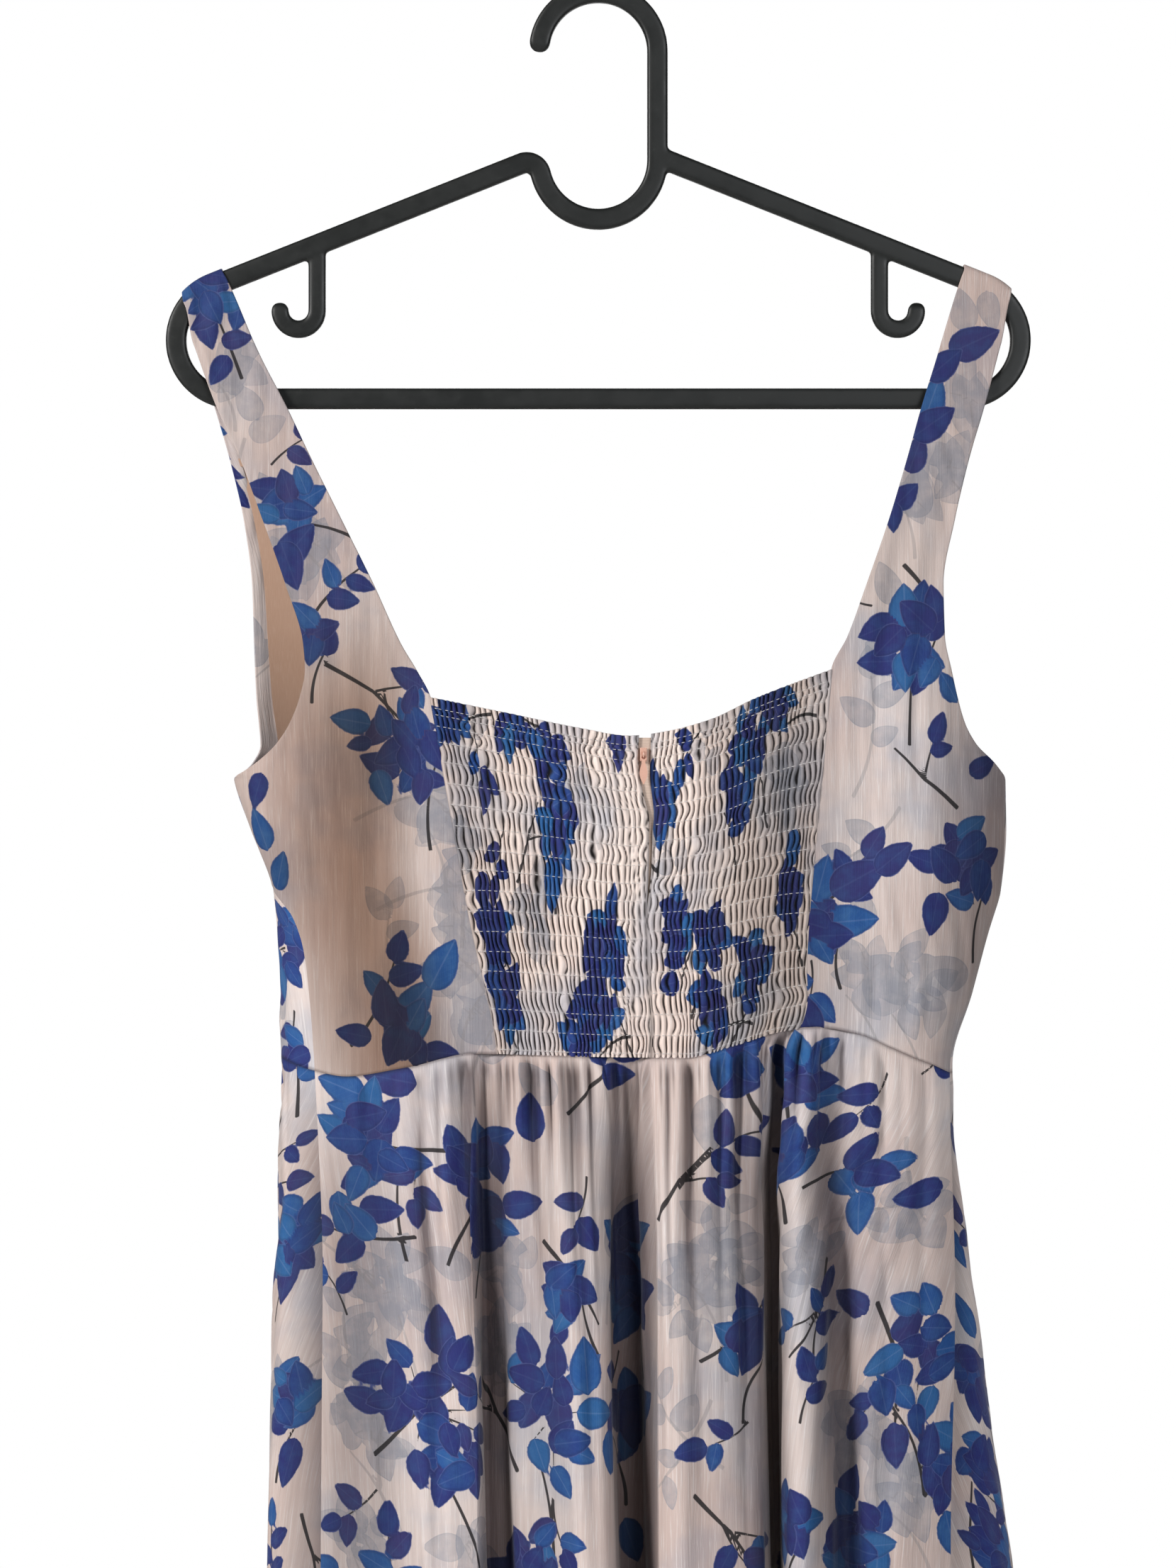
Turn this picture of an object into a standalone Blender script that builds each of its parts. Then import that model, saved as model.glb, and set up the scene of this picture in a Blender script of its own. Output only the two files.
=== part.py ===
"""Midi dress on a hanger: a sleeveless dress with a shirred back, hung by its straps from a moulded hanger.

Units are metres and +Z is up. The dress shows its back to -Y, and +X is to the right of whoever looks at
that back. The origin is the top of the space inside the hanger's hook, where the hook sits on a rail.

Every piece of cloth is a wall of even thickness on a middle surface. That surface comes from horizontal
sections of the whole dress, and a panel is the stretch of it between two edges. A bearing is the angle
round a section: 0 at the right side, -90 at the centre back, 90 at the centre front.
"""

import math
from collections import namedtuple

import bmesh
import bpy
import numpy as np

GAP = 0.0003  # between pieces that meet

# ---- hanger: bars of one rounded section, along lines and arcs in the plane Y = 0
Place = namedtuple("Place", "x z")
BAR_HEIGHT = 0.0100
BAR_DEPTH = 0.0070
BAR_CORNER = 0.0015
HOOK_RADIUS = 0.0287  # of the middle line, as are the radii below
HOOK_CENTRE = Place(0.0, BAR_HEIGHT / 2 - HOOK_RADIUS)
HOOK_TIP_ANGLE = 171.0
YOKE_CENTRE = Place(0.0, -0.0764)
FILLET_CENTRE = Place(0.0347, -0.0845)
END_CENTRE = Place(0.1765, -0.1639)
END_RADIUS = 0.0283
STRAP_HOOK_CENTRE = Place(0.1454, -0.1495)
STRAP_HOOK_RADIUS = 0.0090
STRAP_HOOK_SCALE = 0.84  # its bar against the hanger's own
ARC_STEP = 12.0  # degrees
LEAD = 0.0010  # straight length that ends an arc, so that its end face is square to the next bar
TIP_SHARES = (0.96, 0.82, 0.55, 0.28)  # of a rounded tip's length, where it has its sections
WELD = 1e-6
SHARP_EDGE = 40.0  # degrees

# ---- cloth
CLOTH = 0.0012
SHIRRED = 0.0018  # the gathered panel is thicker
LINING = 0.0010
WRAP_CLEARANCE = 0.0007  # strap over the bar, measured at its flats
WRAP_SQUARENESS = 4.0  # power of the strap's curve over the bar
ROUNDNESS = 2.4  # power of the sections' curve: 2 is an ellipse, more is squarer

# Sections of the whole dress. left and right are its widest points, back and front how far it stands from
# Y = 0 at its middle. flat is 1 where it hangs as a board and 0 where it rounds away to its sides, and
# folds scales the skirt's folds.
Section = namedtuple("Section", "z left right back front flat folds")
SECTIONS = (
    Section(-0.130, -0.2150, 0.2130, 0.0048, 0.0048, 1.00, 0.00),
    Section(-0.160, -0.2130, 0.2110, 0.0049, 0.0049, 1.00, 0.00),
    Section(-0.200, -0.2080, 0.2080, 0.0095, 0.0100, 0.85, 0.00),
    Section(-0.250, -0.2000, 0.2035, 0.0170, 0.0190, 0.60, 0.00),
    Section(-0.300, -0.1900, 0.2000, 0.0265, 0.0300, 0.30, 0.00),
    Section(-0.345, -0.1815, 0.1985, 0.0345, 0.0420, 0.10, 0.00),
    Section(-0.3765, -0.1768, 0.1975, 0.0365, 0.0500, 0.00, 0.00),
    Section(-0.400, -0.1690, 0.1978, 0.0370, 0.0550, 0.00, 0.00),
    Section(-0.430, -0.1578, 0.1953, 0.0365, 0.0540, 0.00, 0.00),
    Section(-0.450, -0.1550, 0.1895, 0.0350, 0.0480, 0.00, 0.00),
    Section(-0.480, -0.1543, 0.1815, 0.0330, 0.0390, 0.00, 0.10),
    Section(-0.515, -0.1538, 0.1718, 0.0310, 0.0330, 0.00, 0.15),
    Section(-0.545, -0.1546, 0.1720, 0.0350, 0.0370, 0.00, 0.35),
    Section(-0.600, -0.1558, 0.1790, 0.0450, 0.0470, 0.00, 0.65),
    Section(-0.680, -0.1590, 0.1893, 0.0580, 0.0600, 0.00, 0.90),
    Section(-0.760, -0.1600, 0.2006, 0.0690, 0.0710, 0.00, 1.00),
    Section(-0.950, -0.1660, 0.2230, 0.0870, 0.0880, 0.00, 1.15),
    Section(-1.150, -0.1720, 0.2440, 0.1000, 0.1010, 0.00, 1.30),
    Section(-1.290, -0.1760, 0.2560, 0.1070, 0.1080, 0.00, 1.40),
)
UNDERARM = -0.3765
WAIST = -0.5175
HEM = -1.290

# Edges of the cloth above the underarm: where each stands at a level.
Strap = namedtuple("Strap", "z neck arm")
BACK_LEFT = (
    Strap(-0.130, -0.1830, -0.2030),
    Strap(-0.150, -0.1740, -0.2005),
    Strap(-0.172, -0.1640, -0.1933),
    Strap(-0.197, -0.1510, -0.1840),
    Strap(-0.222, -0.1390, -0.1725),
    Strap(-0.252, -0.1240, -0.1612),
    Strap(-0.283, -0.1085, -0.1500),
    Strap(-0.312, -0.0950, -0.1412),
    Strap(-0.3245, -0.0875, -0.1403),
    Strap(-0.338, -0.0806, -0.1430),
    Strap(-0.350, -0.0783, -0.1478),
    Strap(-0.360, -0.0765, -0.1545),
    Strap(-0.3685, -0.0749, -0.1640),
    Strap(UNDERARM, -0.0734, -0.1768),
)
BACK_RIGHT = (
    Strap(-0.130, 0.1778, 0.2015),
    Strap(-0.150, 0.1710, 0.1985),
    Strap(-0.172, 0.1645, 0.1928),
    Strap(-0.197, 0.1566, 0.1860),
    Strap(-0.222, 0.1495, 0.1785),
    Strap(-0.252, 0.1403, 0.1712),
    Strap(-0.283, 0.1293, 0.1655),
    Strap(-0.308, 0.1200, 0.1660),
    Strap(-0.3245, 0.1119, 0.1692),
    Strap(-0.338, 0.1107, 0.1722),
    Strap(-0.350, 0.1094, 0.1758),
    Strap(-0.360, 0.1083, 0.1815),
    Strap(-0.3685, 0.1074, 0.1905),
    Strap(UNDERARM, 0.1065, 0.1975),
)
FRONT_LEFT = (
    Strap(-0.130, -0.1830, -0.2030),
    Strap(-0.150, -0.1745, -0.2003),
    Strap(-0.172, -0.1665, -0.1935),
    Strap(-0.197, -0.1560, -0.1860),
    Strap(-0.222, -0.1450, -0.1790),
    Strap(-0.252, -0.1310, -0.1725),
    Strap(-0.283, -0.1170, -0.1690),
    Strap(-0.312, -0.1040, -0.1683),
    Strap(-0.338, -0.0900, -0.1673),
    Strap(-0.350, -0.0805, -0.1662),
    Strap(-0.360, -0.0700, -0.1655),
    Strap(-0.3685, -0.0580, -0.1690),
    Strap(UNDERARM, -0.0430, -0.1768),
)
FRONT_RIGHT = (
    Strap(-0.130, 0.1778, 0.2015),
    Strap(-0.150, 0.1720, 0.1985),
    Strap(-0.172, 0.1665, 0.1925),
    Strap(-0.197, 0.1590, 0.1850),
    Strap(-0.222, 0.1530, 0.1770),
    Strap(-0.252, 0.1440, 0.1695),
    Strap(-0.283, 0.1330, 0.1640),
    Strap(-0.312, 0.1230, 0.1625),
    Strap(-0.338, 0.1110, 0.1645),
    Strap(-0.350, 0.1020, 0.1675),
    Strap(-0.360, 0.0900, 0.1730),
    Strap(-0.3685, 0.0760, 0.1830),
    Strap(UNDERARM, 0.0560, 0.1975),
)

# Seams that run down the dress: where each stands at a level.
Seam = namedtuple("Seam", "z x")
SIDE_SEAM_LEFT = (
    Seam(UNDERARM, -0.1768),
    Seam(-0.400, -0.1690),
    Seam(-0.430, -0.1576),
    Seam(-0.444, -0.1470),
    Seam(-0.460, -0.1418),
    Seam(-0.485, -0.1388),
    Seam(WAIST, -0.1365),
    Seam(-0.620, -0.1318),
    Seam(-0.760, -0.1320),
    Seam(HEM, -0.1400),
)
SIDE_SEAM_RIGHT = (
    Seam(UNDERARM, 0.1975),
    Seam(-0.430, 0.1953),
    Seam(-0.480, 0.1814),
    Seam(WAIST, 0.1700),
    Seam(-0.620, 0.1715),
    Seam(-0.760, 0.1680),
    Seam(HEM, 0.2050),
)
SHIRRING_LEFT = (Seam(-0.338, -0.0806), Seam(WAIST, -0.0488))
SHIRRING_RIGHT = (Seam(-0.3245, 0.1119), Seam(WAIST, 0.0935))
ZIP_LINE = (Seam(-0.350, 0.0208), Seam(-0.385, 0.0222), Seam(WAIST, 0.0250))
CENTRE_BACK = (Seam(WAIST, 0.0250), Seam(-0.600, 0.0280), Seam(-0.760, 0.0285), Seam(HEM, 0.0520))
CENTRE_FRONT = (Seam(UNDERARM, -0.0430), Seam(-0.390, -0.0040), Seam(WAIST, -0.0040))
CENTRE_FRONT_RIGHT = (Seam(UNDERARM, 0.0560), Seam(-0.390, -0.0040), Seam(WAIST, -0.0040))

# Height of the waist seam round the dress, and of the shirred panel's top edge across the back.
Rise = namedtuple("Rise", "bearing z")
WAIST_SEAM = (
    Rise(-151.0, -0.5170),
    Rise(-140.0, -0.5198),
    Rise(-124.0, -0.5150),
    Rise(-110.0, -0.5080),
    Rise(-92.0, -0.5095),
    Rise(-82.0, -0.5100),
    Rise(-74.0, -0.5040),
    Rise(-67.0, -0.4978),
    Rise(-60.0, -0.4955),
    Rise(-50.0, -0.4988),
    Rise(-40.0, -0.5058),
    Rise(-28.0, -0.5125),
    Rise(-8.0, -0.5185),
    Rise(30.0, -0.5165),
    Rise(90.0, -0.5130),
    Rise(150.0, -0.5110),
    Rise(185.0, -0.5115),
    Rise(209.0, -0.5170),
)
Crest = namedtuple("Crest", "x z")
SHIRRING_TOP = (
    Crest(-0.0820, -0.3378),
    Crest(-0.0460, -0.3453),
    Crest(-0.0090, -0.3530),
    Crest(0.0135, -0.3558),
    Crest(0.0300, -0.3545),
    Crest(0.0520, -0.3487),
    Crest(0.0740, -0.3385),
    Crest(0.1130, -0.3232),
)
WAIST_REACH = 0.090  # how far above the waist seam its rise and fall still tells

# Lines down the skirt between its seams: where each stands at the waist, at knee height and at the hem, and
# how far it lies in from the section there (out, where negative).
Line = namedtuple("Line", "waist knee hem drop")
KNEE = -0.760
FOLDS_BACK_LEFT = (
    Line(-0.1120, -0.1060, -0.1150, -0.0020),
    Line(-0.0860, -0.0780, -0.0850, -0.0010),
    Line(-0.0640, -0.0570, -0.0580, -0.0030),
    Line(-0.0540, -0.0490, -0.0460, 0.0130),
    Line(-0.0420, -0.0360, -0.0280, 0.0080),
    Line(-0.0280, -0.0170, -0.0060, 0.0000),
    Line(-0.0160, -0.0040, 0.0110, -0.0050),
    Line(-0.0060, 0.0050, 0.0240, -0.0010),
    Line(0.0030, 0.0110, 0.0330, 0.0170),
    Line(0.0150, 0.0212, 0.0430, 0.0210),
    Line(0.0215, 0.0262, 0.0490, 0.0045),
)
FOLDS_BACK_RIGHT = (
    Line(0.0340, 0.0370, 0.0640, -0.0040),
    Line(0.0470, 0.0520, 0.0840, -0.0030),
    Line(0.0610, 0.0660, 0.1010, -0.0030),
    Line(0.0720, 0.0775, 0.1140, 0.0010),
    Line(0.0790, 0.0830, 0.1200, 0.0200),
    Line(0.0860, 0.0865, 0.1250, 0.0210),
    Line(0.0920, 0.0895, 0.1300, 0.0000),
    Line(0.0965, 0.0960, 0.1400, -0.0040),
    Line(0.1020, 0.1060, 0.1520, 0.0000),
    Line(0.1120, 0.1150, 0.1640, 0.0080),
    Line(0.1250, 0.1270, 0.1780, 0.0010),
    Line(0.1480, 0.1480, 0.1930, -0.0020),
)
CENTRE_BACK_DROP = 0.0030  # of the seam between the two backs
# The front's lines stand at a share of the way round from its right seam to its left one.
Fold = namedtuple("Fold", "share drop")
FOLDS_FRONT = (
    Fold(0.06, 0.0000),
    Fold(0.13, -0.0010),
    Fold(0.18, 0.0060),
    Fold(0.23, -0.0020),
    Fold(0.31, -0.0050),
    Fold(0.36, 0.0010),
    Fold(0.39, 0.0190),
    Fold(0.42, 0.0000),
    Fold(0.49, -0.0050),
    Fold(0.55, 0.0000),
    Fold(0.58, 0.0160),
    Fold(0.62, -0.0010),
    Fold(0.70, -0.0050),
    Fold(0.76, 0.0020),
    Fold(0.79, 0.0140),
    Fold(0.83, -0.0010),
    Fold(0.90, -0.0020),
    Fold(0.95, 0.0000),
)

# Rows of the bodice, from under the hanger's arm to the waist, and angles over the arm from its top.
STRAP_LEVELS = (-0.165, -0.182, -0.200, -0.220, -0.245, -0.270, -0.292)
CHEST_LEVELS = (-0.312, -0.3245, -0.338, -0.350, -0.360, -0.3685, UNDERARM)
RIB_LEVELS = (-0.392, -0.412, -0.431, -0.450, -0.480, WAIST)
WRAP_ANGLES = (90.0, 65.0, 45.0, 25.0, 0.0)
BODICE_COLUMNS = 8
SHIRRING_COLUMNS = 10
SKIRT_ROWS = 10
ROW_EVENNESS = 0.45  # of the skirt's rows: 1 is even, less draws them up to the waist
SEAM_INSET = 0.0004  # cloth kept back from a seam that lies on a turn, as at a side or the waist
RIM = 0.0060  # how far a lining stops short of its panel's lower edge; of its neck, half as far
LINING_TOP = -0.220

# ---- zip
ZIP_HALF_GAP = (Seam(-0.350, 0.0030), Seam(-0.369, 0.0024), Seam(-0.385, 0.0006), Seam(WAIST, 0.0005))
ZIP_TOP = -0.3570
TAPE_LEVELS = (ZIP_TOP, -0.370, -0.385, -0.410, -0.440, -0.470, WAIST)
TAPE_WIDTH = 0.0120
TAPE = 0.0008
SLIDER_SIZE = (0.0034, 0.0026, 0.0065)
SLIDER_PROUD = 0.0008  # of the shirred cloth
SLIDER_EDGE = 0.0004  # radius of its edges
PULL_Z = -0.3650
PULL_EYE = 0.0010  # radius of its hole
PULL_RING = 0.0007  # metal round the hole
PULL_THICKNESS = 0.0007
PULL_LENGTH = 0.0145
PULL_WIDTH = 0.0038
PULL_SHARES = (0.22, 0.97)  # of its length, where its leaf begins and ends
PULL_STEPS = 8
PULL_SWELL = 1.25  # power that sets the leaf's widest place below its middle
BRIDGE_RADIUS = 0.0013
BRIDGE_WIRE = 0.0004
BRIDGE_STAND = 0.00085  # the pull's axis above the slider's face

COLOURS = {
    "hanger_plastic": ((0.020, 0.026, 0.025), 0.45, 0.0),
    "printed_chiffon": ((0.62, 0.54, 0.52), 0.85, 0.0),
    "shirred_chiffon": ((0.56, 0.48, 0.46), 0.85, 0.0),
    "lining_cloth": ((0.58, 0.36, 0.25), 0.70, 0.0),
    "zip_tape_cloth": ((0.55, 0.42, 0.34), 0.80, 0.0),
    "zip_metal": ((0.72, 0.55, 0.47), 0.35, 0.3),
}


# ---- scene and materials
def clear_scene():
    for obj in list(bpy.data.objects):
        bpy.data.objects.remove(obj, do_unlink=True)


def new_collection(name):
    collection = bpy.data.collections.new(name)
    bpy.context.scene.collection.children.link(collection)
    return collection


def material(name):
    found = bpy.data.materials.get(name)
    if found:
        return found
    colour, roughness, metallic = COLOURS[name]
    made = bpy.data.materials.new(name)
    made.use_nodes = True
    shader = made.node_tree.nodes["Principled BSDF"]
    shader.inputs["Base Color"].default_value = (*colour, 1.0)
    shader.inputs["Roughness"].default_value = roughness
    shader.inputs["Metallic"].default_value = metallic
    return made


def placed(name, mesh, collection, finish):
    obj = bpy.data.objects.new(name, mesh)
    collection.objects.link(obj)
    mesh.materials.clear()
    mesh.materials.append(material(finish))
    return obj


# ---- curves through short tables
def through(at, knots, values):
    """Smooth curve through the knots that never swings past them, read at one place or an array of them."""
    knots, values = np.asarray(knots, float), np.asarray(values, float)
    if knots[0] > knots[-1]:
        knots, values = knots[::-1], values[::-1]
    chord = np.diff(values) / np.diff(knots)
    before, after = chord[:-1], chord[1:]
    same_way = before * after > 0
    inner = np.where(same_way, 2 * before * after / np.where(same_way, before + after, 1.0), 0.0)
    slope = np.concatenate([chord[:1], inner, chord[-1:]])
    at = np.clip(at, knots[0], knots[-1])
    i = np.clip(np.searchsorted(knots, at) - 1, 0, len(knots) - 2)
    span = knots[i + 1] - knots[i]
    t = (at - knots[i]) / span
    rise = values[i] * (1 + 2 * t) * (1 - t) ** 2 + values[i + 1] * t**2 * (3 - 2 * t)
    return rise + span * (slope[i] * t * (1 - t) ** 2 - slope[i + 1] * t**2 * (1 - t))


def read(table, column, at, key="z"):
    return through(at, [getattr(row, key) for row in table], [getattr(row, column) for row in table])


# ---- hanger
def arc(centre, radius, start, end):
    """Points on an arc, its two ends included, for angles in degrees from +X towards +Z."""
    steps = max(2, math.ceil(abs(end - start) / ARC_STEP))
    angles = [math.radians(start + (end - start) * i / steps) for i in range(steps + 1)]
    return [Place(centre.x + radius * math.cos(a), centre.z + radius * math.sin(a)) for a in angles]


def led_arc(centre, radius, start, end):
    """The arc with a short straight length at either end, along its tangent there."""
    way = math.copysign(LEAD, end - start)
    first, last = math.radians(start), math.radians(end)
    path = arc(centre, radius, start, end)
    before = Place(path[0].x + way * math.sin(first), path[0].z - way * math.cos(first))
    after = Place(path[-1].x - way * math.sin(last), path[-1].z + way * math.cos(last))
    return [before, *path, after]


def mirrored(places, side):
    sign = -1 if side == "left" else 1
    return [Place(sign * p.x, p.z) for p in places]


FILLET_RADIUS = math.dist(FILLET_CENTRE, YOKE_CENTRE) - HOOK_RADIUS
ARM_SLOPE = math.atan2(FILLET_CENTRE.z - END_CENTRE.z, END_CENTRE.x - FILLET_CENTRE.x) - math.asin(
    (END_RADIUS - FILLET_RADIUS) / math.dist(FILLET_CENTRE, END_CENTRE)
)
ARM_NORMAL = Place(math.sin(ARM_SLOPE), math.cos(ARM_SLOPE))  # on the right arm, up and out


def off_centre(centre, radius):
    """The point of a circle where the right arm's middle line touches it."""
    return Place(centre.x + radius * ARM_NORMAL.x, centre.z + radius * ARM_NORMAL.z)


def arm_height(x, lift):
    """Height at x of the line that runs `lift` outside the middle line of an arm and of its round end."""
    away = np.abs(x)
    touch = off_centre(END_CENTRE, END_RADIUS + lift)
    straight = touch.z + (touch.x - away) * math.tan(ARM_SLOPE)
    inside = np.clip((END_RADIUS + lift) ** 2 - (away - END_CENTRE.x) ** 2, 0, None)
    return np.where(away < touch.x, straight, END_CENTRE.z + np.sqrt(inside))


def bar_profile(collection, name, scale):
    """Rounded rectangle that the hanger's curves carry along them."""
    half = Place(BAR_HEIGHT * scale / 2 - BAR_CORNER, BAR_DEPTH * scale / 2 - BAR_CORNER)
    corners = ((1, 1, 0), (-1, 1, 90), (-1, -1, 180), (1, -1, 270))
    outline = []
    for across, along, start in corners:
        outline += arc(Place(across * half.x, along * half.z), BAR_CORNER, start, start + 90)[::2]
    curve = bpy.data.curves.new(name, "CURVE")
    spline = curve.splines.new("POLY")
    spline.points.add(len(outline) - 1)
    for point, place in zip(spline.points, outline):
        point.co = (place.x, place.z, 0, 1)
    spline.use_cyclic_u = True
    profile = bpy.data.objects.new(name, curve)
    profile.hide_render = True
    collection.objects.link(profile)
    return profile


def rounded_tip(path):
    """The path with a rounded end added at its start, as places and bar scales."""
    first, second = path[0], path[1]
    reach = BAR_HEIGHT / 2 / math.dist(first, second)
    tip = []
    for share in TIP_SHARES:
        ahead = Place(
            first.x + (first.x - second.x) * reach * share,
            first.z + (first.z - second.z) * reach * share,
        )
        tip.append((ahead, math.sqrt(1 - share**2)))
    return tip + [(place, 1.0) for place in path]


def bar(name, path, profile, collection):
    """Mesh of the profile carried along a path of (place, scale) in the plane Y = 0."""
    curve = bpy.data.curves.new(name, "CURVE")
    curve.dimensions = "2D"
    curve.fill_mode = "NONE"
    curve.bevel_mode = "OBJECT"
    curve.bevel_object = profile
    curve.use_fill_caps = True
    spline = curve.splines.new("POLY")
    spline.points.add(len(path) - 1)
    for point, (place, scale) in zip(spline.points, path):
        point.co = (place.x, place.z, 0, 1)
        point.radius = scale
    guide = bpy.data.objects.new(name + "_guide", curve)
    guide.rotation_euler.x = math.pi / 2
    collection.objects.link(guide)
    bpy.context.view_layer.update()
    evaluated = guide.evaluated_get(bpy.context.evaluated_depsgraph_get())
    mesh = bpy.data.meshes.new_from_object(evaluated)
    mesh.name = name
    mesh.transform(guide.matrix_world)
    bpy.data.objects.remove(guide, do_unlink=True)
    work = bmesh.new()
    work.from_mesh(mesh)
    bmesh.ops.remove_doubles(work, verts=work.verts, dist=WELD)
    bmesh.ops.recalc_face_normals(work, faces=work.faces)
    work.to_mesh(mesh)
    work.free()
    mesh.shade_smooth()
    mesh.set_sharp_from_angle(angle=math.radians(SHARP_EDGE))
    return placed(name, mesh, collection, "hanger_plastic")


def plain(places):
    return [(place, 1.0) for place in places]


def hanger_hook(collection, profile):
    stem_foot = Place(HOOK_RADIUS, YOKE_CENTRE.z + LEAD + GAP)
    path = arc(HOOK_CENTRE, HOOK_RADIUS, HOOK_TIP_ANGLE, 0.0) + [stem_foot]
    return bar("hanger_hook", rounded_tip(path), profile, collection)


def hanger_yoke(collection, profile):
    """The dip in the middle: from under the stem round to the left arm, with a small turn the other way."""
    meet = math.degrees(math.atan2(FILLET_CENTRE.z - YOKE_CENTRE.z, -FILLET_CENTRE.x))
    dip = led_arc(YOKE_CENTRE, HOOK_RADIUS, 0.0, meet)
    centre = Place(-FILLET_CENTRE.x, FILLET_CENTRE.z)
    turn = led_arc(centre, FILLET_RADIUS, meet + 180, 90 + math.degrees(ARM_SLOPE))
    return bar("hanger_yoke", plain(dip[:-1] + turn[2:]), profile, collection)


def hanger_arm(side, collection, profile):
    """One straight arm. The left one goes on from the yoke, and the right one stands against the stem."""
    touch = off_centre(END_CENTRE, END_RADIUS)
    inner = off_centre(FILLET_CENTRE, FILLET_RADIUS)
    along = Place(math.cos(ARM_SLOPE), -math.sin(ARM_SLOPE))
    if side == "right":
        stem_face = HOOK_RADIUS + BAR_HEIGHT / 2 + GAP
        inner = Place(stem_face, inner.z + (inner.x - stem_face) * math.tan(ARM_SLOPE))
    else:
        inner = Place(inner.x + (LEAD + GAP) * along.x, inner.z + (LEAD + GAP) * along.z)
    outer = Place(touch.x - (LEAD + GAP) * along.x, touch.z - (LEAD + GAP) * along.z)
    arm = bar("hanger_arm_" + side, plain(mirrored([inner, outer], side)), profile, collection)
    if side == "right":
        for vertex in arm.data.vertices:
            if vertex.co.x < stem_face + BAR_HEIGHT:
                vertex.co.z += (vertex.co.x - stem_face) * math.tan(ARM_SLOPE)
                vertex.co.x = stem_face
    return arm


def hanger_end(side, collection, profile):
    path = led_arc(END_CENTRE, END_RADIUS, 90 - math.degrees(ARM_SLOPE), -90.0)
    return bar("hanger_end_" + side, plain(mirrored(path, side)), profile, collection)


def hanger_bar(collection, profile):
    reach, level = END_CENTRE.x - LEAD - GAP, END_CENTRE.z - END_RADIUS
    return bar("hanger_bar", plain([Place(-reach, level), Place(reach, level)]), profile, collection)


def strap_hook(side, collection, profile):
    """A small hook that opens outwards, its stem cut along the underside of the arm that it hangs from."""
    stem_x = STRAP_HOOK_CENTRE.x - STRAP_HOOK_RADIUS
    under = -BAR_HEIGHT / 2 - GAP / math.cos(ARM_SLOPE)
    top = Place(stem_x, float(arm_height(stem_x, under)))
    path = arc(STRAP_HOOK_CENTRE, STRAP_HOOK_RADIUS, 0.0, -180.0) + [top]
    hook = bar("strap_hook_" + side, rounded_tip(mirrored(path, side)), profile, collection)
    for vertex in hook.data.vertices:
        if vertex.co.z > STRAP_HOOK_CENTRE.z + BAR_HEIGHT:
            vertex.co.z = float(arm_height(vertex.co.x, under))
    return hook


def build_hanger(collection, helpers):
    profile = bar_profile(helpers, "bar_section", 1.0)
    small_profile = bar_profile(helpers, "strap_hook_section", STRAP_HOOK_SCALE)
    hanger_hook(collection, profile)
    hanger_yoke(collection, profile)
    hanger_bar(collection, profile)
    for side in ("left", "right"):
        hanger_arm(side, collection, profile)
        hanger_end(side, collection, profile)
        strap_hook(side, collection, small_profile)


# ---- the dress's middle surface
def bearing_of(x, z, half):
    """Bearing of the point at x on the back or front half of the section at z."""
    left, right = read(SECTIONS, "left", z), read(SECTIONS, "right", z)
    across = np.clip((2 * x - left - right) / (right - left), -1, 1)
    turned = np.degrees(np.arccos(np.sign(across) * np.abs(across) ** (ROUNDNESS / 2)))
    return -turned if half == "back" else turned


def surface(bearing, z, drop=0.0):
    """Points of the middle surface, moved in by the folds' drop: an array with x, y and z last."""
    left, right = read(SECTIONS, "left", z), read(SECTIONS, "right", z)
    cosine, sine = np.cos(np.radians(bearing)), np.sin(np.radians(bearing))
    across = np.sign(cosine) * np.abs(cosine) ** (2 / ROUNDNESS)
    away = np.abs(sine) ** (2 / ROUNDNESS)
    flat = read(SECTIONS, "flat", z)
    middle = np.where(sine < 0, read(SECTIONS, "back", z), read(SECTIONS, "front", z))
    depth = middle * (flat + (1 - flat) * away) - drop * read(SECTIONS, "folds", z)
    x = (left + right) / 2 + across * (right - left) / 2
    return np.stack([x, np.sign(sine) * depth, z + 0 * x], axis=-1)


def waist_height(bearing):
    return read(WAIST_SEAM, "z", bearing, key="bearing")


def bodice_height(level, bearing):
    """Height of a bodice row, which follows the waist seam's rise and fall as it comes near it."""
    near = np.clip((WAIST + WAIST_REACH - level) / WAIST_REACH, 0, 1)
    return level + near**2 * (3 - 2 * near) * (waist_height(bearing) - WAIST)


def kept_back(grid, top=0.0, bottom=0.0, first=0.0, last=0.0):
    """The grid with its outer rows and columns drawn in, so that its neighbours keep their gap."""
    grid = grid.copy()
    for edge, near, by in ((0, 1, top), (-1, -2, bottom)):
        step = grid[near] - grid[edge]
        grid[edge] += by * step / np.linalg.norm(step, axis=-1, keepdims=True)
    for edge, near, by in ((0, 1, first), (-1, -2, last)):
        step = grid[:, near] - grid[:, edge]
        grid[:, edge] += by * step / np.linalg.norm(step, axis=-1, keepdims=True)
    return grid


def moved_in(grid, distance):
    """The grid moved towards the inside of the dress, so that every facet moves by the distance."""
    square = np.cross(grid[1:, 1:] - grid[:-1, :-1], grid[1:, :-1] - grid[:-1, 1:])
    square /= np.linalg.norm(square, axis=-1, keepdims=True)
    round_it = np.pad(square, ((1, 1), (1, 1), (0, 0)), mode="edge")
    mean = (round_it[:-1, :-1] + round_it[1:, :-1] + round_it[:-1, 1:] + round_it[1:, 1:]) / 4
    outward = np.sign(np.sum(grid[..., :2] * mean[..., :2]))
    return grid - outward * distance * mean / np.sum(mean**2, axis=-1, keepdims=True)


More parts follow.
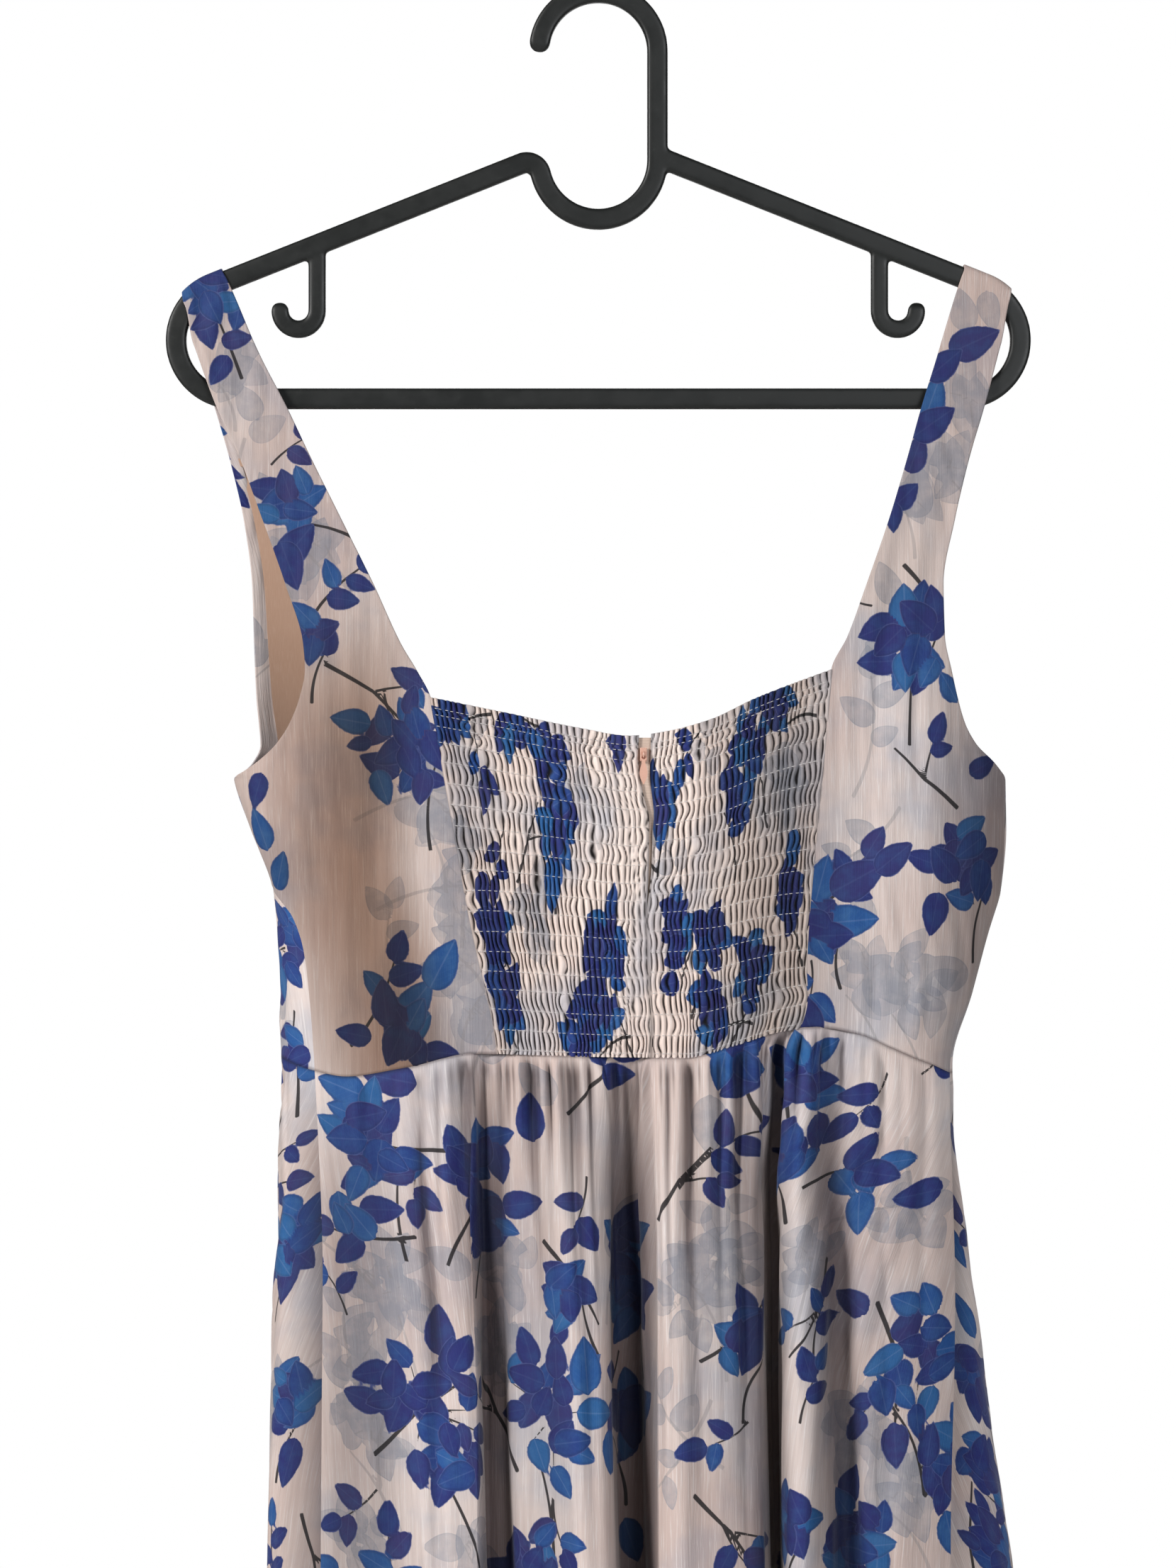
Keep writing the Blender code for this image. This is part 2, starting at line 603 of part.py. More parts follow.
def cloth(name, grid, thickness, finish, collection):
    """A wall of even thickness on a grid of points, rows by columns."""
    rows, columns = grid.shape[:2]
    index = np.arange(rows * columns).reshape(rows, columns)
    quads = np.stack([index[:-1, :-1], index[1:, :-1], index[1:, 1:], index[:-1, 1:]], axis=-1)
    mesh = bpy.data.meshes.new(name)
    mesh.from_pydata(grid.reshape(-1, 3).tolist(), [], quads.reshape(-1, 4).tolist())
    mesh.shade_smooth()
    obj = placed(name, mesh, collection, finish)
    wall = obj.modifiers.new("wall", "SOLIDIFY")
    wall.thickness = thickness
    wall.offset = 0.0
    return obj


# ---- bodice
def over_the_arm(edges, half, columns):
    """Rows of a strap over the hanger's arm, from the shoulder line down to the side of the bar."""
    sign = -1 if half == "back" else 1
    reach = BAR_DEPTH / 2 + WRAP_CLEARANCE + CLOTH / 2
    rise = BAR_HEIGHT / 2 + WRAP_CLEARANCE + CLOTH / 2
    share = np.linspace(0, 1, columns + 1)
    rows = []
    for angle in WRAP_ANGLES:
        lift = rise * math.sin(math.radians(angle)) ** (2 / WRAP_SQUARENESS)
        out = reach * math.cos(math.radians(angle)) ** (2 / WRAP_SQUARENESS)
        neck_z = float(arm_height(edges[0].neck, lift))
        arm_z = float(arm_height(edges[0].arm, lift))
        neck, arm = read(edges, "neck", neck_z), read(edges, "arm", arm_z)
        x = neck + (arm - neck) * share
        rows.append(np.stack([x, np.full_like(x, sign * out), arm_height(x, lift)], axis=-1))
    return np.array(rows)


def panel_bearings(edges, inner_seam, side_seam, half, level):
    """Bearings of a bodice panel's inner and outer edge at a level."""
    inner = read(inner_seam, "x", level) if level <= inner_seam[0].z else read(edges, "neck", level)
    inner = bearing_of(inner, level, half)
    if level >= UNDERARM:
        return inner, bearing_of(read(edges, "arm", level), level, half)
    seam = bearing_of(read(side_seam, "x", level), level, "back")
    if half == "front" and side_seam is SIDE_SEAM_LEFT:
        seam += 360  # the front goes on round the side to the seam
    return inner, seam


def panel_rows(levels, edges, inner_seam, side_seam, half, columns):
    share = np.linspace(0, 1, columns + 1)
    rows = []
    for level in levels:
        inner, outer = panel_bearings(edges, inner_seam, side_seam, half, level)
        bearing = inner + (outer - inner) * share
        rows.append(surface(bearing, bodice_height(level, bearing)))
    return np.array(rows)


def bodice_panel(name, edges, inner_seam, side_seam, half, collection):
    levels = STRAP_LEVELS + CHEST_LEVELS + RIB_LEVELS
    top = over_the_arm(edges, half, BODICE_COLUMNS)
    body = panel_rows(levels, edges, inner_seam, side_seam, half, BODICE_COLUMNS)
    grid = np.concatenate([top, body])
    grid = kept_back(grid, top=GAP / 2, bottom=SEAM_INSET, first=GAP / 2, last=SEAM_INSET)
    return cloth(name, grid, CLOTH, "printed_chiffon", collection)


def front_lining(name, edges, inner_seam, side_seam, collection):
    """Lining made from a front panel's own points moved in. It leaves bare the panel's outermost column."""
    levels = [level for level in STRAP_LEVELS + CHEST_LEVELS + RIB_LEVELS if level <= LINING_TOP]
    grid = panel_rows(levels, edges, inner_seam, side_seam, "front", BODICE_COLUMNS)
    grid = kept_back(moved_in(grid, CLOTH / 2 + GAP + LINING / 2)[:, :-1], bottom=RIM, first=RIM / 2)
    return cloth(name, grid, LINING, "lining_cloth", collection)


def shirring(name, seam, side, collection):
    """Half of the shirred panel, from its seam with a side panel to the zip."""
    share = np.linspace(0, 1, SHIRRING_COLUMNS + 1)
    toward = -1 if side == "left" else 1
    grid = []
    for level in [level for level in CHEST_LEVELS + RIB_LEVELS if level <= seam[0].z]:
        down = (level - seam[0].z) / (WAIST - seam[0].z)
        seam_bearing = bearing_of(read(seam, "x", level), level, "back")
        zip_x = read(ZIP_LINE, "x", level) + toward * read(ZIP_HALF_GAP, "x", level)
        bearing = seam_bearing + (bearing_of(zip_x, level, "back") - seam_bearing) * share
        across = surface(bearing, np.full_like(bearing, level))[:, 0]
        top, foot = read(SHIRRING_TOP, "z", across, key="x"), waist_height(bearing)
        height = top + (foot - top) * down
        height += (bodice_height(level, bearing[0]) - height[0]) * (1 - share) ** 2
        grid.append(surface(bearing, height))
    grid = kept_back(np.array(grid), bottom=SEAM_INSET, first=GAP / 2)
    return cloth(name, grid, SHIRRED, "shirred_chiffon", collection)


def build_bodice(collection):
    bodice_panel("back_side_left", BACK_LEFT, SHIRRING_LEFT, SIDE_SEAM_LEFT, "back", collection)
    bodice_panel("back_side_right", BACK_RIGHT, SHIRRING_RIGHT, SIDE_SEAM_RIGHT, "back", collection)
    bodice_panel("front_left", FRONT_LEFT, CENTRE_FRONT, SIDE_SEAM_LEFT, "front", collection)
    bodice_panel("front_right", FRONT_RIGHT, CENTRE_FRONT_RIGHT, SIDE_SEAM_RIGHT, "front", collection)
    front_lining("front_lining_left", FRONT_LEFT, CENTRE_FRONT, SIDE_SEAM_LEFT, collection)
    front_lining("front_lining_right", FRONT_RIGHT, CENTRE_FRONT_RIGHT, SIDE_SEAM_RIGHT, collection)
    shirring("shirring_left", SHIRRING_LEFT, "left", collection)
    shirring("shirring_right", SHIRRING_RIGHT, "right", collection)


# ---- skirt
def skirt_levels():
    """Levels of the skirt's rows, closer together at the waist, where the cloth turns most."""
    share = np.linspace(0, 1, SKIRT_ROWS + 1)
    return WAIST + (HEM - WAIST) * (ROW_EVENNESS * share + (1 - ROW_EVENNESS) * share**2)


def between_lines(values):
    """Values at lines, and at the middle of each stretch between them."""
    places = np.arange(len(values))
    return through(np.arange(2 * len(values) - 1) / 2, places, values)


def skirt_rows(bearings_at, drops):
    drop = between_lines(drops)
    grid = []
    for level in skirt_levels():
        bearing = between_lines(bearings_at(level))
        top = waist_height(bearing)
        height = HEM + (top - HEM) * (level - HEM) / (WAIST - HEM)
        grid.append(surface(bearing, height, drop))
    return np.array(grid)


def skirt_back(name, seams, folds, collection):
    """A back panel of the skirt, between two seams, left one first, with its folds in order."""

    def bearings_at(level):
        knots = (WAIST, KNEE, HEM)
        line_x = [through(level, knots, (fold.waist, fold.knee, fold.hem)) for fold in folds]
        x = np.array([read(seams[0], "x", level), *line_x, read(seams[1], "x", level)])
        return bearing_of(x, level, "back")

    seam_drops = [CENTRE_BACK_DROP if seam is CENTRE_BACK else 0.0 for seam in seams]
    drops = [seam_drops[0], *(fold.drop for fold in folds), seam_drops[1]]
    grid = kept_back(skirt_rows(bearings_at, drops), top=SEAM_INSET, first=SEAM_INSET, last=SEAM_INSET)
    return cloth(name, grid, CLOTH, "printed_chiffon", collection)


def skirt_front(collection):
    def bearings_at(level):
        right = bearing_of(read(SIDE_SEAM_RIGHT, "x", level), level, "back")
        left = bearing_of(read(SIDE_SEAM_LEFT, "x", level), level, "back") + 360
        shares = np.array([0.0, *(fold.share for fold in FOLDS_FRONT), 1.0])
        return right + (left - right) * shares

    drops = [0.0, *(fold.drop for fold in FOLDS_FRONT), 0.0]
    grid = skirt_rows(bearings_at, drops)
    grid = kept_back(grid, top=SEAM_INSET, first=SEAM_INSET, last=SEAM_INSET)
    return cloth("skirt_front", grid, CLOTH, "printed_chiffon", collection)


def build_skirt(collection):
    left, right = (SIDE_SEAM_LEFT, CENTRE_BACK), (CENTRE_BACK, SIDE_SEAM_RIGHT)
    skirt_back("skirt_back_left", left, FOLDS_BACK_LEFT, collection)
    skirt_back("skirt_back_right", right, FOLDS_BACK_RIGHT, collection)
    skirt_front(collection)


# ---- zip
def on_back(x, z, inside=0.0):
    """Point at x on the back's middle surface, or that far inside it."""
    point = surface(bearing_of(x, z, "back"), z)
    return np.array([x, point[1] + inside, z])


def zip_tape(collection):
    """Strip close behind the shirred panel's wall, from the zip's open top down to the skirt's seam."""
    inside = SHIRRED / 2 + 2 * GAP + TAPE / 2
    grid = []
    for z in TAPE_LEVELS:
        middle = read(ZIP_LINE, "x", z)
        across = middle + TAPE_WIDTH * np.array([-0.5, 0.0, 0.5])
        height = bodice_height(z, bearing_of(across, z, "back"))
        grid.append([on_back(x, h, inside) for x, h in zip(across, height)])
    grid = kept_back(np.array(grid), bottom=GAP)
    return cloth("zip_tape", grid, TAPE, "zip_tape_cloth", collection)


def pull_axis():
    """Where the pull tab swings: level with the middle of the slider's bridge, clear of the cloth."""
    x = read(ZIP_LINE, "x", PULL_Z)
    face = on_back(x, PULL_Z)[1] - SHIRRED / 2 - SLIDER_PROUD
    return np.array([x, face - BRIDGE_STAND, PULL_Z])


def zip_slider(collection, helpers):
    """Slider body between the edges of the opening, with the small bridge that holds its pull."""
    axis = pull_axis()
    bpy.ops.mesh.primitive_torus_add(
        major_radius=BRIDGE_RADIUS,
        minor_radius=BRIDGE_WIRE,
        major_segments=20,
        minor_segments=8,
        location=axis,
        rotation=(0, math.pi / 2, 0),
    )
    bridge = bpy.context.object
    bridge.name = "slider_bridge"
    bridge.hide_render = True
    bridge.display_type = "WIRE"
    for collection_in in list(bridge.users_collection):
        collection_in.objects.unlink(bridge)
    helpers.objects.link(bridge)

    work = bmesh.new()
    bmesh.ops.create_cube(work, size=1.0)
    bmesh.ops.scale(work, vec=SLIDER_SIZE, verts=work.verts)
    mesh = bpy.data.meshes.new("zip_slider")
    work.to_mesh(mesh)
    work.free()
    slider = placed("zip_slider", mesh, collection, "zip_metal")
    slider.location = axis + np.array([0.0, BRIDGE_STAND + SLIDER_SIZE[1] / 2, 0.0])
    edges = slider.modifiers.new("rounded", "BEVEL")
    edges.width = SLIDER_EDGE
    edges.segments = 2
    join = slider.modifiers.new("bridge", "BOOLEAN")
    join.operation = "UNION"
    join.object = bridge
    return slider


def zip_pull(collection):
    """Leaf-shaped plate with an eye at its top, its origin on the axis that it swings about."""
    eye_drop = PULL_EYE + PULL_RING / 2
    eye_outside = PULL_EYE + PULL_RING
    length = PULL_LENGTH - eye_drop
    eye_turns = [math.radians(a) for a in range(-60, 241, 20)]
    outline = [(eye_outside * math.cos(a), eye_outside * math.sin(a) - eye_drop) for a in eye_turns]
    leaf = []
    for share in np.linspace(*PULL_SHARES, PULL_STEPS):
        half_width = PULL_WIDTH / 2 * math.sin(math.pi * share**PULL_SWELL)
        leaf.append((half_width, -eye_drop - length * share))
    outline += [(-x, z) for x, z in leaf]
    outline.append((0.0, -PULL_LENGTH))
    outline += leaf[::-1]
    hole_turns = [math.radians(a) for a in range(0, 360, 24)]
    hole = [(PULL_EYE * math.cos(a), PULL_EYE * math.sin(a) - eye_drop) for a in hole_turns]
    curve = bpy.data.curves.new("zip_pull", "CURVE")
    curve.dimensions = "2D"
    curve.fill_mode = "BOTH"
    curve.extrude = PULL_THICKNESS / 2
    for ring in (outline, hole):
        spline = curve.splines.new("POLY")
        spline.points.add(len(ring) - 1)
        for point, (x, z) in zip(spline.points, ring):
            point.co = (x, z, 0, 1)
        spline.use_cyclic_u = True
    pull = placed("zip_pull", curve, collection, "zip_metal")
    pull.rotation_euler.x = math.pi / 2
    pull.location = pull_axis()
    return pull


def build_zip(collection, helpers):
    zip_tape(collection)
    zip_slider(collection, helpers)
    zip_pull(collection)


clear_scene()
dress = new_collection("midi_dress_on_hanger")
shaping = new_collection("shaping_helpers")
build_hanger(dress, shaping)
build_bodice(dress)
build_skirt(dress)
build_zip(dress, shaping)
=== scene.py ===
"""Looks of a midi dress on its hanger: printed crinkle chiffon, a shirred back with its zip, a moulded hanger.

Units are metres, +Z is up, and the dress shows its back to -Y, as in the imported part. A bearing is the angle
round the dress in degrees: 0 at the right side, -90 at the centre back, 90 at the centre front.
"""

import math
from collections import namedtuple

import bpy
import numpy as np
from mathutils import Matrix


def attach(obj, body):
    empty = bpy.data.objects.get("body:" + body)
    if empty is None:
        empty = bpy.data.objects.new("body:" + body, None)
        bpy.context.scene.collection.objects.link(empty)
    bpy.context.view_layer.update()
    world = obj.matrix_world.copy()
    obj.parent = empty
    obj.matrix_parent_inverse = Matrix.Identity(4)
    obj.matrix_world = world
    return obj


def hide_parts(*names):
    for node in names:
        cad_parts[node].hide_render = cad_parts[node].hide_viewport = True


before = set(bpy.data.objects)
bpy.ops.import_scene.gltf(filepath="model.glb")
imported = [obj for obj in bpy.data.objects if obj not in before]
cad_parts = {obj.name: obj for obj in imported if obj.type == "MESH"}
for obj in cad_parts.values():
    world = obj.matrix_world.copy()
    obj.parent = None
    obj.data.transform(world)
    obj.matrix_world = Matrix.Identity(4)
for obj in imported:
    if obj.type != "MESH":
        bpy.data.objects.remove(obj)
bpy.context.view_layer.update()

# ---- The room: a pale floor well under the hem, a soft light high on the left, a wider and weaker one on the
# right and one behind, and white all round. The camera looks at the back of the dress from two metres off.
VIEW_DISTANCE = 2.0
VIEW_CENTRE = (-0.0050, -0.3791)  # x and z of what stands in the middle of the picture
VIEW_HEIGHT = 0.7609  # of the picture, measured at the hanger
SENSOR = 36.0
FLOOR_LEVEL = -1.46
FLOOR_REACH = 2.2
LIGHTS = (  # name, place, target, size, power and colour
    ("key", (-1.75, -1.35, 0.45), (0.02, 0.0, -0.6), (0.5, 0.7), 47.0, (1.0, 0.985, 0.97)),
    ("fill", (1.2, -2.0, 0.1), (0.05, 0.0, -0.6), (0.9, 1.2), 24.0, (0.95, 0.97, 1.0)),
    ("back", (0.3, 1.9, 0.2), (0.0, 0.0, -0.6), (1.6, 1.6), 20.0, (1.0, 1.0, 1.0)),
)
ROOM_LIGHT = 0.10  # strength of the white all round, where it isn't seen directly


def linked(name, data):
    made = bpy.data.objects.new(name, data)
    bpy.context.scene.collection.objects.link(made)
    return made


def aimed(name, data, place, target):
    """Puts a light or camera at a place and turns it to look at a target, level with the horizon."""
    made = linked(name, data)
    x, y, z = np.array(target, float) - np.array(place, float)
    made.location = place
    made.rotation_euler = math.atan2(math.hypot(x, y), -z), 0.0, math.atan2(-x, y)
    return made


def put(tree, socket, value):
    """Links a socket to another one, or sets its value."""
    if isinstance(value, bpy.types.NodeSocket):
        tree.links.new(value, socket)
    else:
        socket.default_value = value


def fill(tree, node, **inputs):
    """Links or sets a node's inputs by name, their spaces written as _."""
    for key, value in inputs.items():
        put(tree, next(s for s in node.inputs if s.name == key.replace("_", " ") and s.enabled), value)
    return node


def add(tree, kind, settings=None, **inputs):
    """Adds a shader node with its settings and inputs."""
    node = tree.nodes.new("ShaderNode" + kind)
    for key, value in (settings or {}).items():
        setattr(node, key, value)
    return fill(tree, node, **inputs)


def noise(tree, vector, scale, detail, roughness=0.5):
    return add(tree, "TexNoise", Vector=vector, Scale=scale, Detail=detail, Roughness=roughness).outputs["Fac"]


def relief(tree, height, strength, distance):
    return add(tree, "Bump", Height=height, Strength=strength, Distance=distance).outputs["Normal"]


def maths(tree, operation, *values):
    """Output of a Math node on one, two or three numbers or sockets."""
    node = add(tree, "Math", {"operation": operation})
    for socket, value in zip(node.inputs, values):
        put(tree, socket, value)
    return node.outputs["Value"]


def blended(tree, share, first, second, blend="MIX"):
    """Output of a colour mix: the first colour where the share is 0, the second over it where it is 1."""
    node = add(tree, "Mix", {"data_type": "RGBA", "blend_type": blend})
    for index, value in ((0, share), (6, first), (7, second)):
        put(tree, node.inputs[index], value)
    return node.outputs[2]


def ranged(tree, value, low, high, start=0.0, end=1.0):
    """Output that goes smoothly from start to end as the value goes from low to high, level outside them."""
    limits = {"From_Min": low, "From_Max": high, "To_Min": start, "To_Max": end}
    return add(tree, "MapRange", {"interpolation_type": "SMOOTHSTEP"}, Value=value, **limits).outputs["Result"]


def linear(red, green, blue):
    """Colour for a shader from one on the usual 0 to 255 scale."""
    share = np.array([red, green, blue]) / 255.0
    value = np.where(share <= 0.04045, share / 12.92, ((share + 0.055) / 1.055) ** 2.4)
    return (*value.tolist(), 1.0)


def new_material(name):
    made = bpy.data.materials.new(name)
    made.use_nodes = True
    return made, made.node_tree, made.node_tree.nodes["Principled BSDF"]


camera_data = bpy.data.cameras.new("camera")
camera_data.sensor_width = SENSOR
camera_data.lens = SENSOR * VIEW_DISTANCE / VIEW_HEIGHT
viewpoint = np.array([VIEW_CENTRE[0], -VIEW_DISTANCE, VIEW_CENTRE[1]])
camera = aimed("camera", camera_data, viewpoint, viewpoint + (0.0, VIEW_DISTANCE, 0.0))
bpy.context.scene.camera = camera
bpy.context.scene.view_settings.view_transform = "Standard"
for name, place, target, size, power, colour in LIGHTS:
    lamp = bpy.data.lights.new(name, "AREA")
    lamp.shape = "RECTANGLE"
    lamp.size, lamp.size_y = size
    lamp.energy, lamp.color = power, colour
    aimed(name, lamp, place, target)

world = bpy.data.worlds.new("studio")
bpy.context.scene.world = world
world.use_nodes = True
tree = world.node_tree
seen_directly = add(tree, "LightPath").outputs["Is Camera Ray"]
brightness = add(tree, "MapRange", Value=seen_directly, To_Min=ROOM_LIGHT).outputs["Result"]
fill(tree, tree.nodes["Background"], Color=(1.0, 1.0, 1.0, 1.0), Strength=brightness)

floor_mesh = bpy.data.meshes.new("floor")
corners = [(x * FLOOR_REACH, y * FLOOR_REACH, FLOOR_LEVEL) for x, y in ((-1, -1), (1, -1), (1, 1), (-1, 1))]
floor_mesh.from_pydata(corners, [], [(0, 1, 2, 3)])
floor = linked("floor", floor_mesh)
floor_paint, tree, shader = new_material("floor_paint")
mottle = add(tree, "TexNoise", Scale=3.0, Detail=4.0).outputs["Fac"]
colour = blended(tree, mottle, linear(226, 225, 223), linear(234, 233, 231))
fill(tree, shader, Base_Color=colour, Roughness=0.9)
floor_mesh.materials.append(floor_paint)

# ---- The hanger: one moulding of near-black plastic with a satin face. Its bars are rounded rectangles that
# run into each other with small fillets: hook, stem, dip, arms, round ends, bottom bar and two strap hooks.
Place = namedtuple("Place", "x z")
BAR_HEIGHT = 0.0100
BAR_DEPTH = 0.0070
BAR_CORNER = 0.0015
HOOK_RADIUS = 0.0287  # of the middle line, as are the radii below
HOOK_CENTRE = Place(0.0, BAR_HEIGHT / 2 - HOOK_RADIUS)
HOOK_TIP_ANGLE = 171.0
YOKE_CENTRE = Place(0.0, -0.0764)
FILLET_CENTRE = Place(0.0347, -0.0845)
END_CENTRE = Place(0.1765, -0.1639)
END_RADIUS = 0.0283
STRAP_HOOK_CENTRE = Place(0.1454, -0.1495)
STRAP_HOOK_RADIUS = 0.0090
STRAP_HOOK_SCALE = 0.84
ARC_STEP = 4.0  # degrees
TIP_TURNS = (84.0, 68.0, 50.0, 32.0, 15.0)  # of the rings that close a bar's round start
MOULD_VOXEL = 0.00106

FILLET_RADIUS = math.dist(FILLET_CENTRE, YOKE_CENTRE) - HOOK_RADIUS
ARM_SLOPE = math.atan2(FILLET_CENTRE.z - END_CENTRE.z, END_CENTRE.x - FILLET_CENTRE.x) - math.asin(
    (END_RADIUS - FILLET_RADIUS) / math.dist(FILLET_CENTRE, END_CENTRE)
)


def arm_touch(radius):
    """The point where the right arm's middle line touches a circle about the round end's centre."""
    return Place(END_CENTRE.x + radius * math.sin(ARM_SLOPE), END_CENTRE.z + radius * math.cos(ARM_SLOPE))


def arm_height(x, lift):
    """Height at x of the line that runs `lift` outside the middle line of an arm and of its round end."""
    away = np.abs(x)
    touch = arm_touch(END_RADIUS + lift)
    straight = touch.z + (touch.x - away) * math.tan(ARM_SLOPE)
    inside = np.clip((END_RADIUS + lift) ** 2 - (away - END_CENTRE.x) ** 2, 0, None)
    return np.where(away < touch.x, straight, END_CENTRE.z + np.sqrt(inside))


def arc(centre, radius, start, end):
    """Points on an arc, for angles in degrees from +X towards +Z."""
    turns = np.radians(np.linspace(start, end, max(3, math.ceil(abs(end - start) / ARC_STEP) + 1)))
    return np.stack([centre.x + radius * np.cos(turns), centre.z + radius * np.sin(turns)], axis=-1)


def bar(path, scale=1.0, round_start=False):
    """Points and faces of a bar: a rounded rectangle, square to the path at each of its points.

    A corner of the section is (half size - corner radius) out on each side plus a quarter circle. A round
    start adds rings that go ahead by sin(a) and shrink by cos(a) of half the bar.
    """
    along = np.gradient(path, axis=0)
    along /= np.linalg.norm(along, axis=1, keepdims=True)
    size = np.full(len(path), scale)
    if round_start:
        turns = np.radians(TIP_TURNS)
        path = np.concatenate([path[0] - along[0] * (np.sin(turns) * BAR_HEIGHT * scale / 2)[:, None], path])
        size = np.concatenate([np.cos(turns) * scale, size])
        along = np.concatenate([np.repeat(along[:1], len(turns), axis=0), along])
    side = np.stack([-along[:, 1], along[:, 0]], axis=-1)
    turn = np.radians(np.arange(0.0, 91.0, 22.5) + np.arange(0, 360, 90)[:, None])
    out_a = np.array([1, -1, -1, 1])[:, None] * (BAR_HEIGHT / 2 - BAR_CORNER)
    out_b = np.array([1, 1, -1, -1])[:, None] * (BAR_DEPTH / 2 - BAR_CORNER)
    a, b = (out_a + BAR_CORNER * np.cos(turn)).ravel(), (out_b + BAR_CORNER * np.sin(turn)).ravel()
    flat = path[:, None, :] + side[:, None, :] * (a * size[:, None])[..., None]
    points = np.stack([flat[..., 0], b * size[:, None], flat[..., 1]], axis=-1).reshape(-1, 3)
    ring = np.arange(len(a))
    near = (np.arange(len(path) - 1) * len(a))[:, None] + ring
    after = np.roll(near, -1, axis=1)
    faces = np.stack([near, near + len(a), after + len(a), after], axis=-1).reshape(-1, 4).tolist()
    return points, faces + [ring.tolist(), (ring[::-1] + (len(path) - 1) * len(a)).tolist()]


def on_left(path):
    return np.asarray(path) * (-1, 1)


def hanger_bars():
    """Every bar's path, run a little way into its neighbours, with its scale and whether it starts round."""
    stem = [(HOOK_RADIUS, z) for z in np.linspace(HOOK_CENTRE.z - 0.002, YOKE_CENTRE.z, 20)]
    hook = np.concatenate([arc(HOOK_CENTRE, HOOK_RADIUS, HOOK_TIP_ANGLE, 0.0), stem])
    meet = math.degrees(math.atan2(FILLET_CENTRE.z - YOKE_CENTRE.z, -FILLET_CENTRE.x))
    slope = math.degrees(ARM_SLOPE)
    dip = arc(YOKE_CENTRE, HOOK_RADIUS, 0.0, meet)
    turn = arc(Place(-FILLET_CENTRE.x, FILLET_CENTRE.z), FILLET_RADIUS, meet + 180, 90 + slope)
    touch = arm_touch(END_RADIUS)
    run = arc(END_CENTRE, END_RADIUS, 90 - slope, -90.0)[1:]
    inner = np.array((HOOK_RADIUS, touch.z + (touch.x - HOOK_RADIUS) * math.tan(ARM_SLOPE)))
    steps = np.linspace(0, 1, 60)[:, None]
    left_start = on_left(turn[-1])
    left_arm = on_left(left_start + steps[1:] * (touch - left_start))
    level = np.linspace(-END_CENTRE.x, END_CENTRE.x, 120)
    bars = [
        (hook, 1.0, True),
        (np.concatenate([dip, turn[1:], left_arm, on_left(run)]), 1.0, False),
        (np.concatenate([inner + steps * (touch - inner), run]), 1.0, False),
        (np.stack([level, np.full(120, END_CENTRE.z - END_RADIUS)], axis=-1), 1.0, False),
    ]
    stem_x = STRAP_HOOK_CENTRE.x - STRAP_HOOK_RADIUS
    heights = np.linspace(STRAP_HOOK_CENTRE.z + 0.001, float(arm_height(stem_x, 0.0)), 16)
    curl = arc(STRAP_HOOK_CENTRE, STRAP_HOOK_RADIUS, 0.0, -180.0)
    strap_hook = np.concatenate([curl, [(stem_x, z) for z in heights]])
    return bars + [(path, STRAP_HOOK_SCALE, True) for path in (on_left(strap_hook), strap_hook)]


def made_object(name, mesh, material):
    made = linked(name, mesh)
    mesh.materials.append(material)
    mesh.shade_smooth()
    return made


points, faces, start = [], [], 0
for own in hanger_bars():
    own_points, own_faces = bar(*own)
    points.append(own_points)
    faces += [[start + i for i in face] for face in own_faces]
    start += len(own_points)
moulding = bpy.data.meshes.new("hanger")
moulding.from_pydata(np.concatenate(points).tolist(), [], faces)

hanger_plastic, tree, shader = new_material("satin_plastic")
place = add(tree, "TexCoord").outputs["Object"]
bloom, scuffs = noise(tree, place, 60.0, 5.0, 0.6), noise(tree, place, 240.0, 6.0, 0.75)
colour = blended(tree, bloom, linear(13, 16, 15), linear(20, 23, 22))
scuffed = maths(tree, "MULTIPLY", ranged(tree, scuffs, 0.60, 0.72), 0.22)
fill(
    tree, shader,
    Base_Color=blended(tree, scuffed, colour, linear(54, 58, 56)),
    Roughness=ranged(tree, bloom, 0.3, 0.7, 0.42, 0.56),
    Normal=relief(tree, noise(tree, place, 2600.0, 2.0), 0.25, 0.00006),
)

hanger = made_object("hanger", moulding, hanger_plastic)
remesh = hanger.modifiers.new("moulded", "REMESH")
remesh.mode = "VOXEL"
remesh.voxel_size = MOULD_VOXEL
settle = hanger.modifiers.new("settled", "SMOOTH")
settle.factor = 0.5
settle.iterations = 3
bpy.context.view_layer.update()
evaluated = hanger.evaluated_get(bpy.context.evaluated_depsgraph_get())
finished = bpy.data.meshes.new_from_object(evaluated)
hanger.modifiers.clear()
hanger.data = finished
finished.shade_smooth()
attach(hanger, "body")
paired = [part + side for part in ("hanger_arm_", "hanger_end_", "strap_hook_") for side in ("left", "right")]
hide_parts("hanger_hook", "hanger_yoke", "hanger_bar", *paired)

# ---- The chiffon: one cloth for the whole dress, a pale blush crinkle chiffon printed with leaf sprigs in
# indigo, cobalt and violet over faded ones. The print is worked out on the flat cloth, in metres, and each
# point of a piece carries its distance into the nearest leaves, so that the leaves keep clean edges.
LEAF_LENGTH = 0.0180
LEAF_SWELL = (0.50, 0.90)  # powers of the leaf's outline towards its stalk and towards its tip
LEAF_PEAK = 0.4005  # the outline's greatest value
FAR = -0.009  # what counts as outside every leaf
PRINT_REACH = 0.004  # how far round a leaf or twig its distances are worked out
SEED_TURN = 137.5  # degrees from one leaf of a cluster to the next
HEART_TONES = (0.0, 0.12, 0.30, 0.50)  # of the leaves in a cluster's middle, from indigo to cobalt
RIM_TONES = (0.10, 0.25, 0.50, 0.78, 0.92)
HEART = 0.62  # share of a cluster's reach
DARK_LAYERS = ("leaf_1", "leaf_2", "leaf_3")
FADED_LAYERS = ("faded_1", "faded_2")
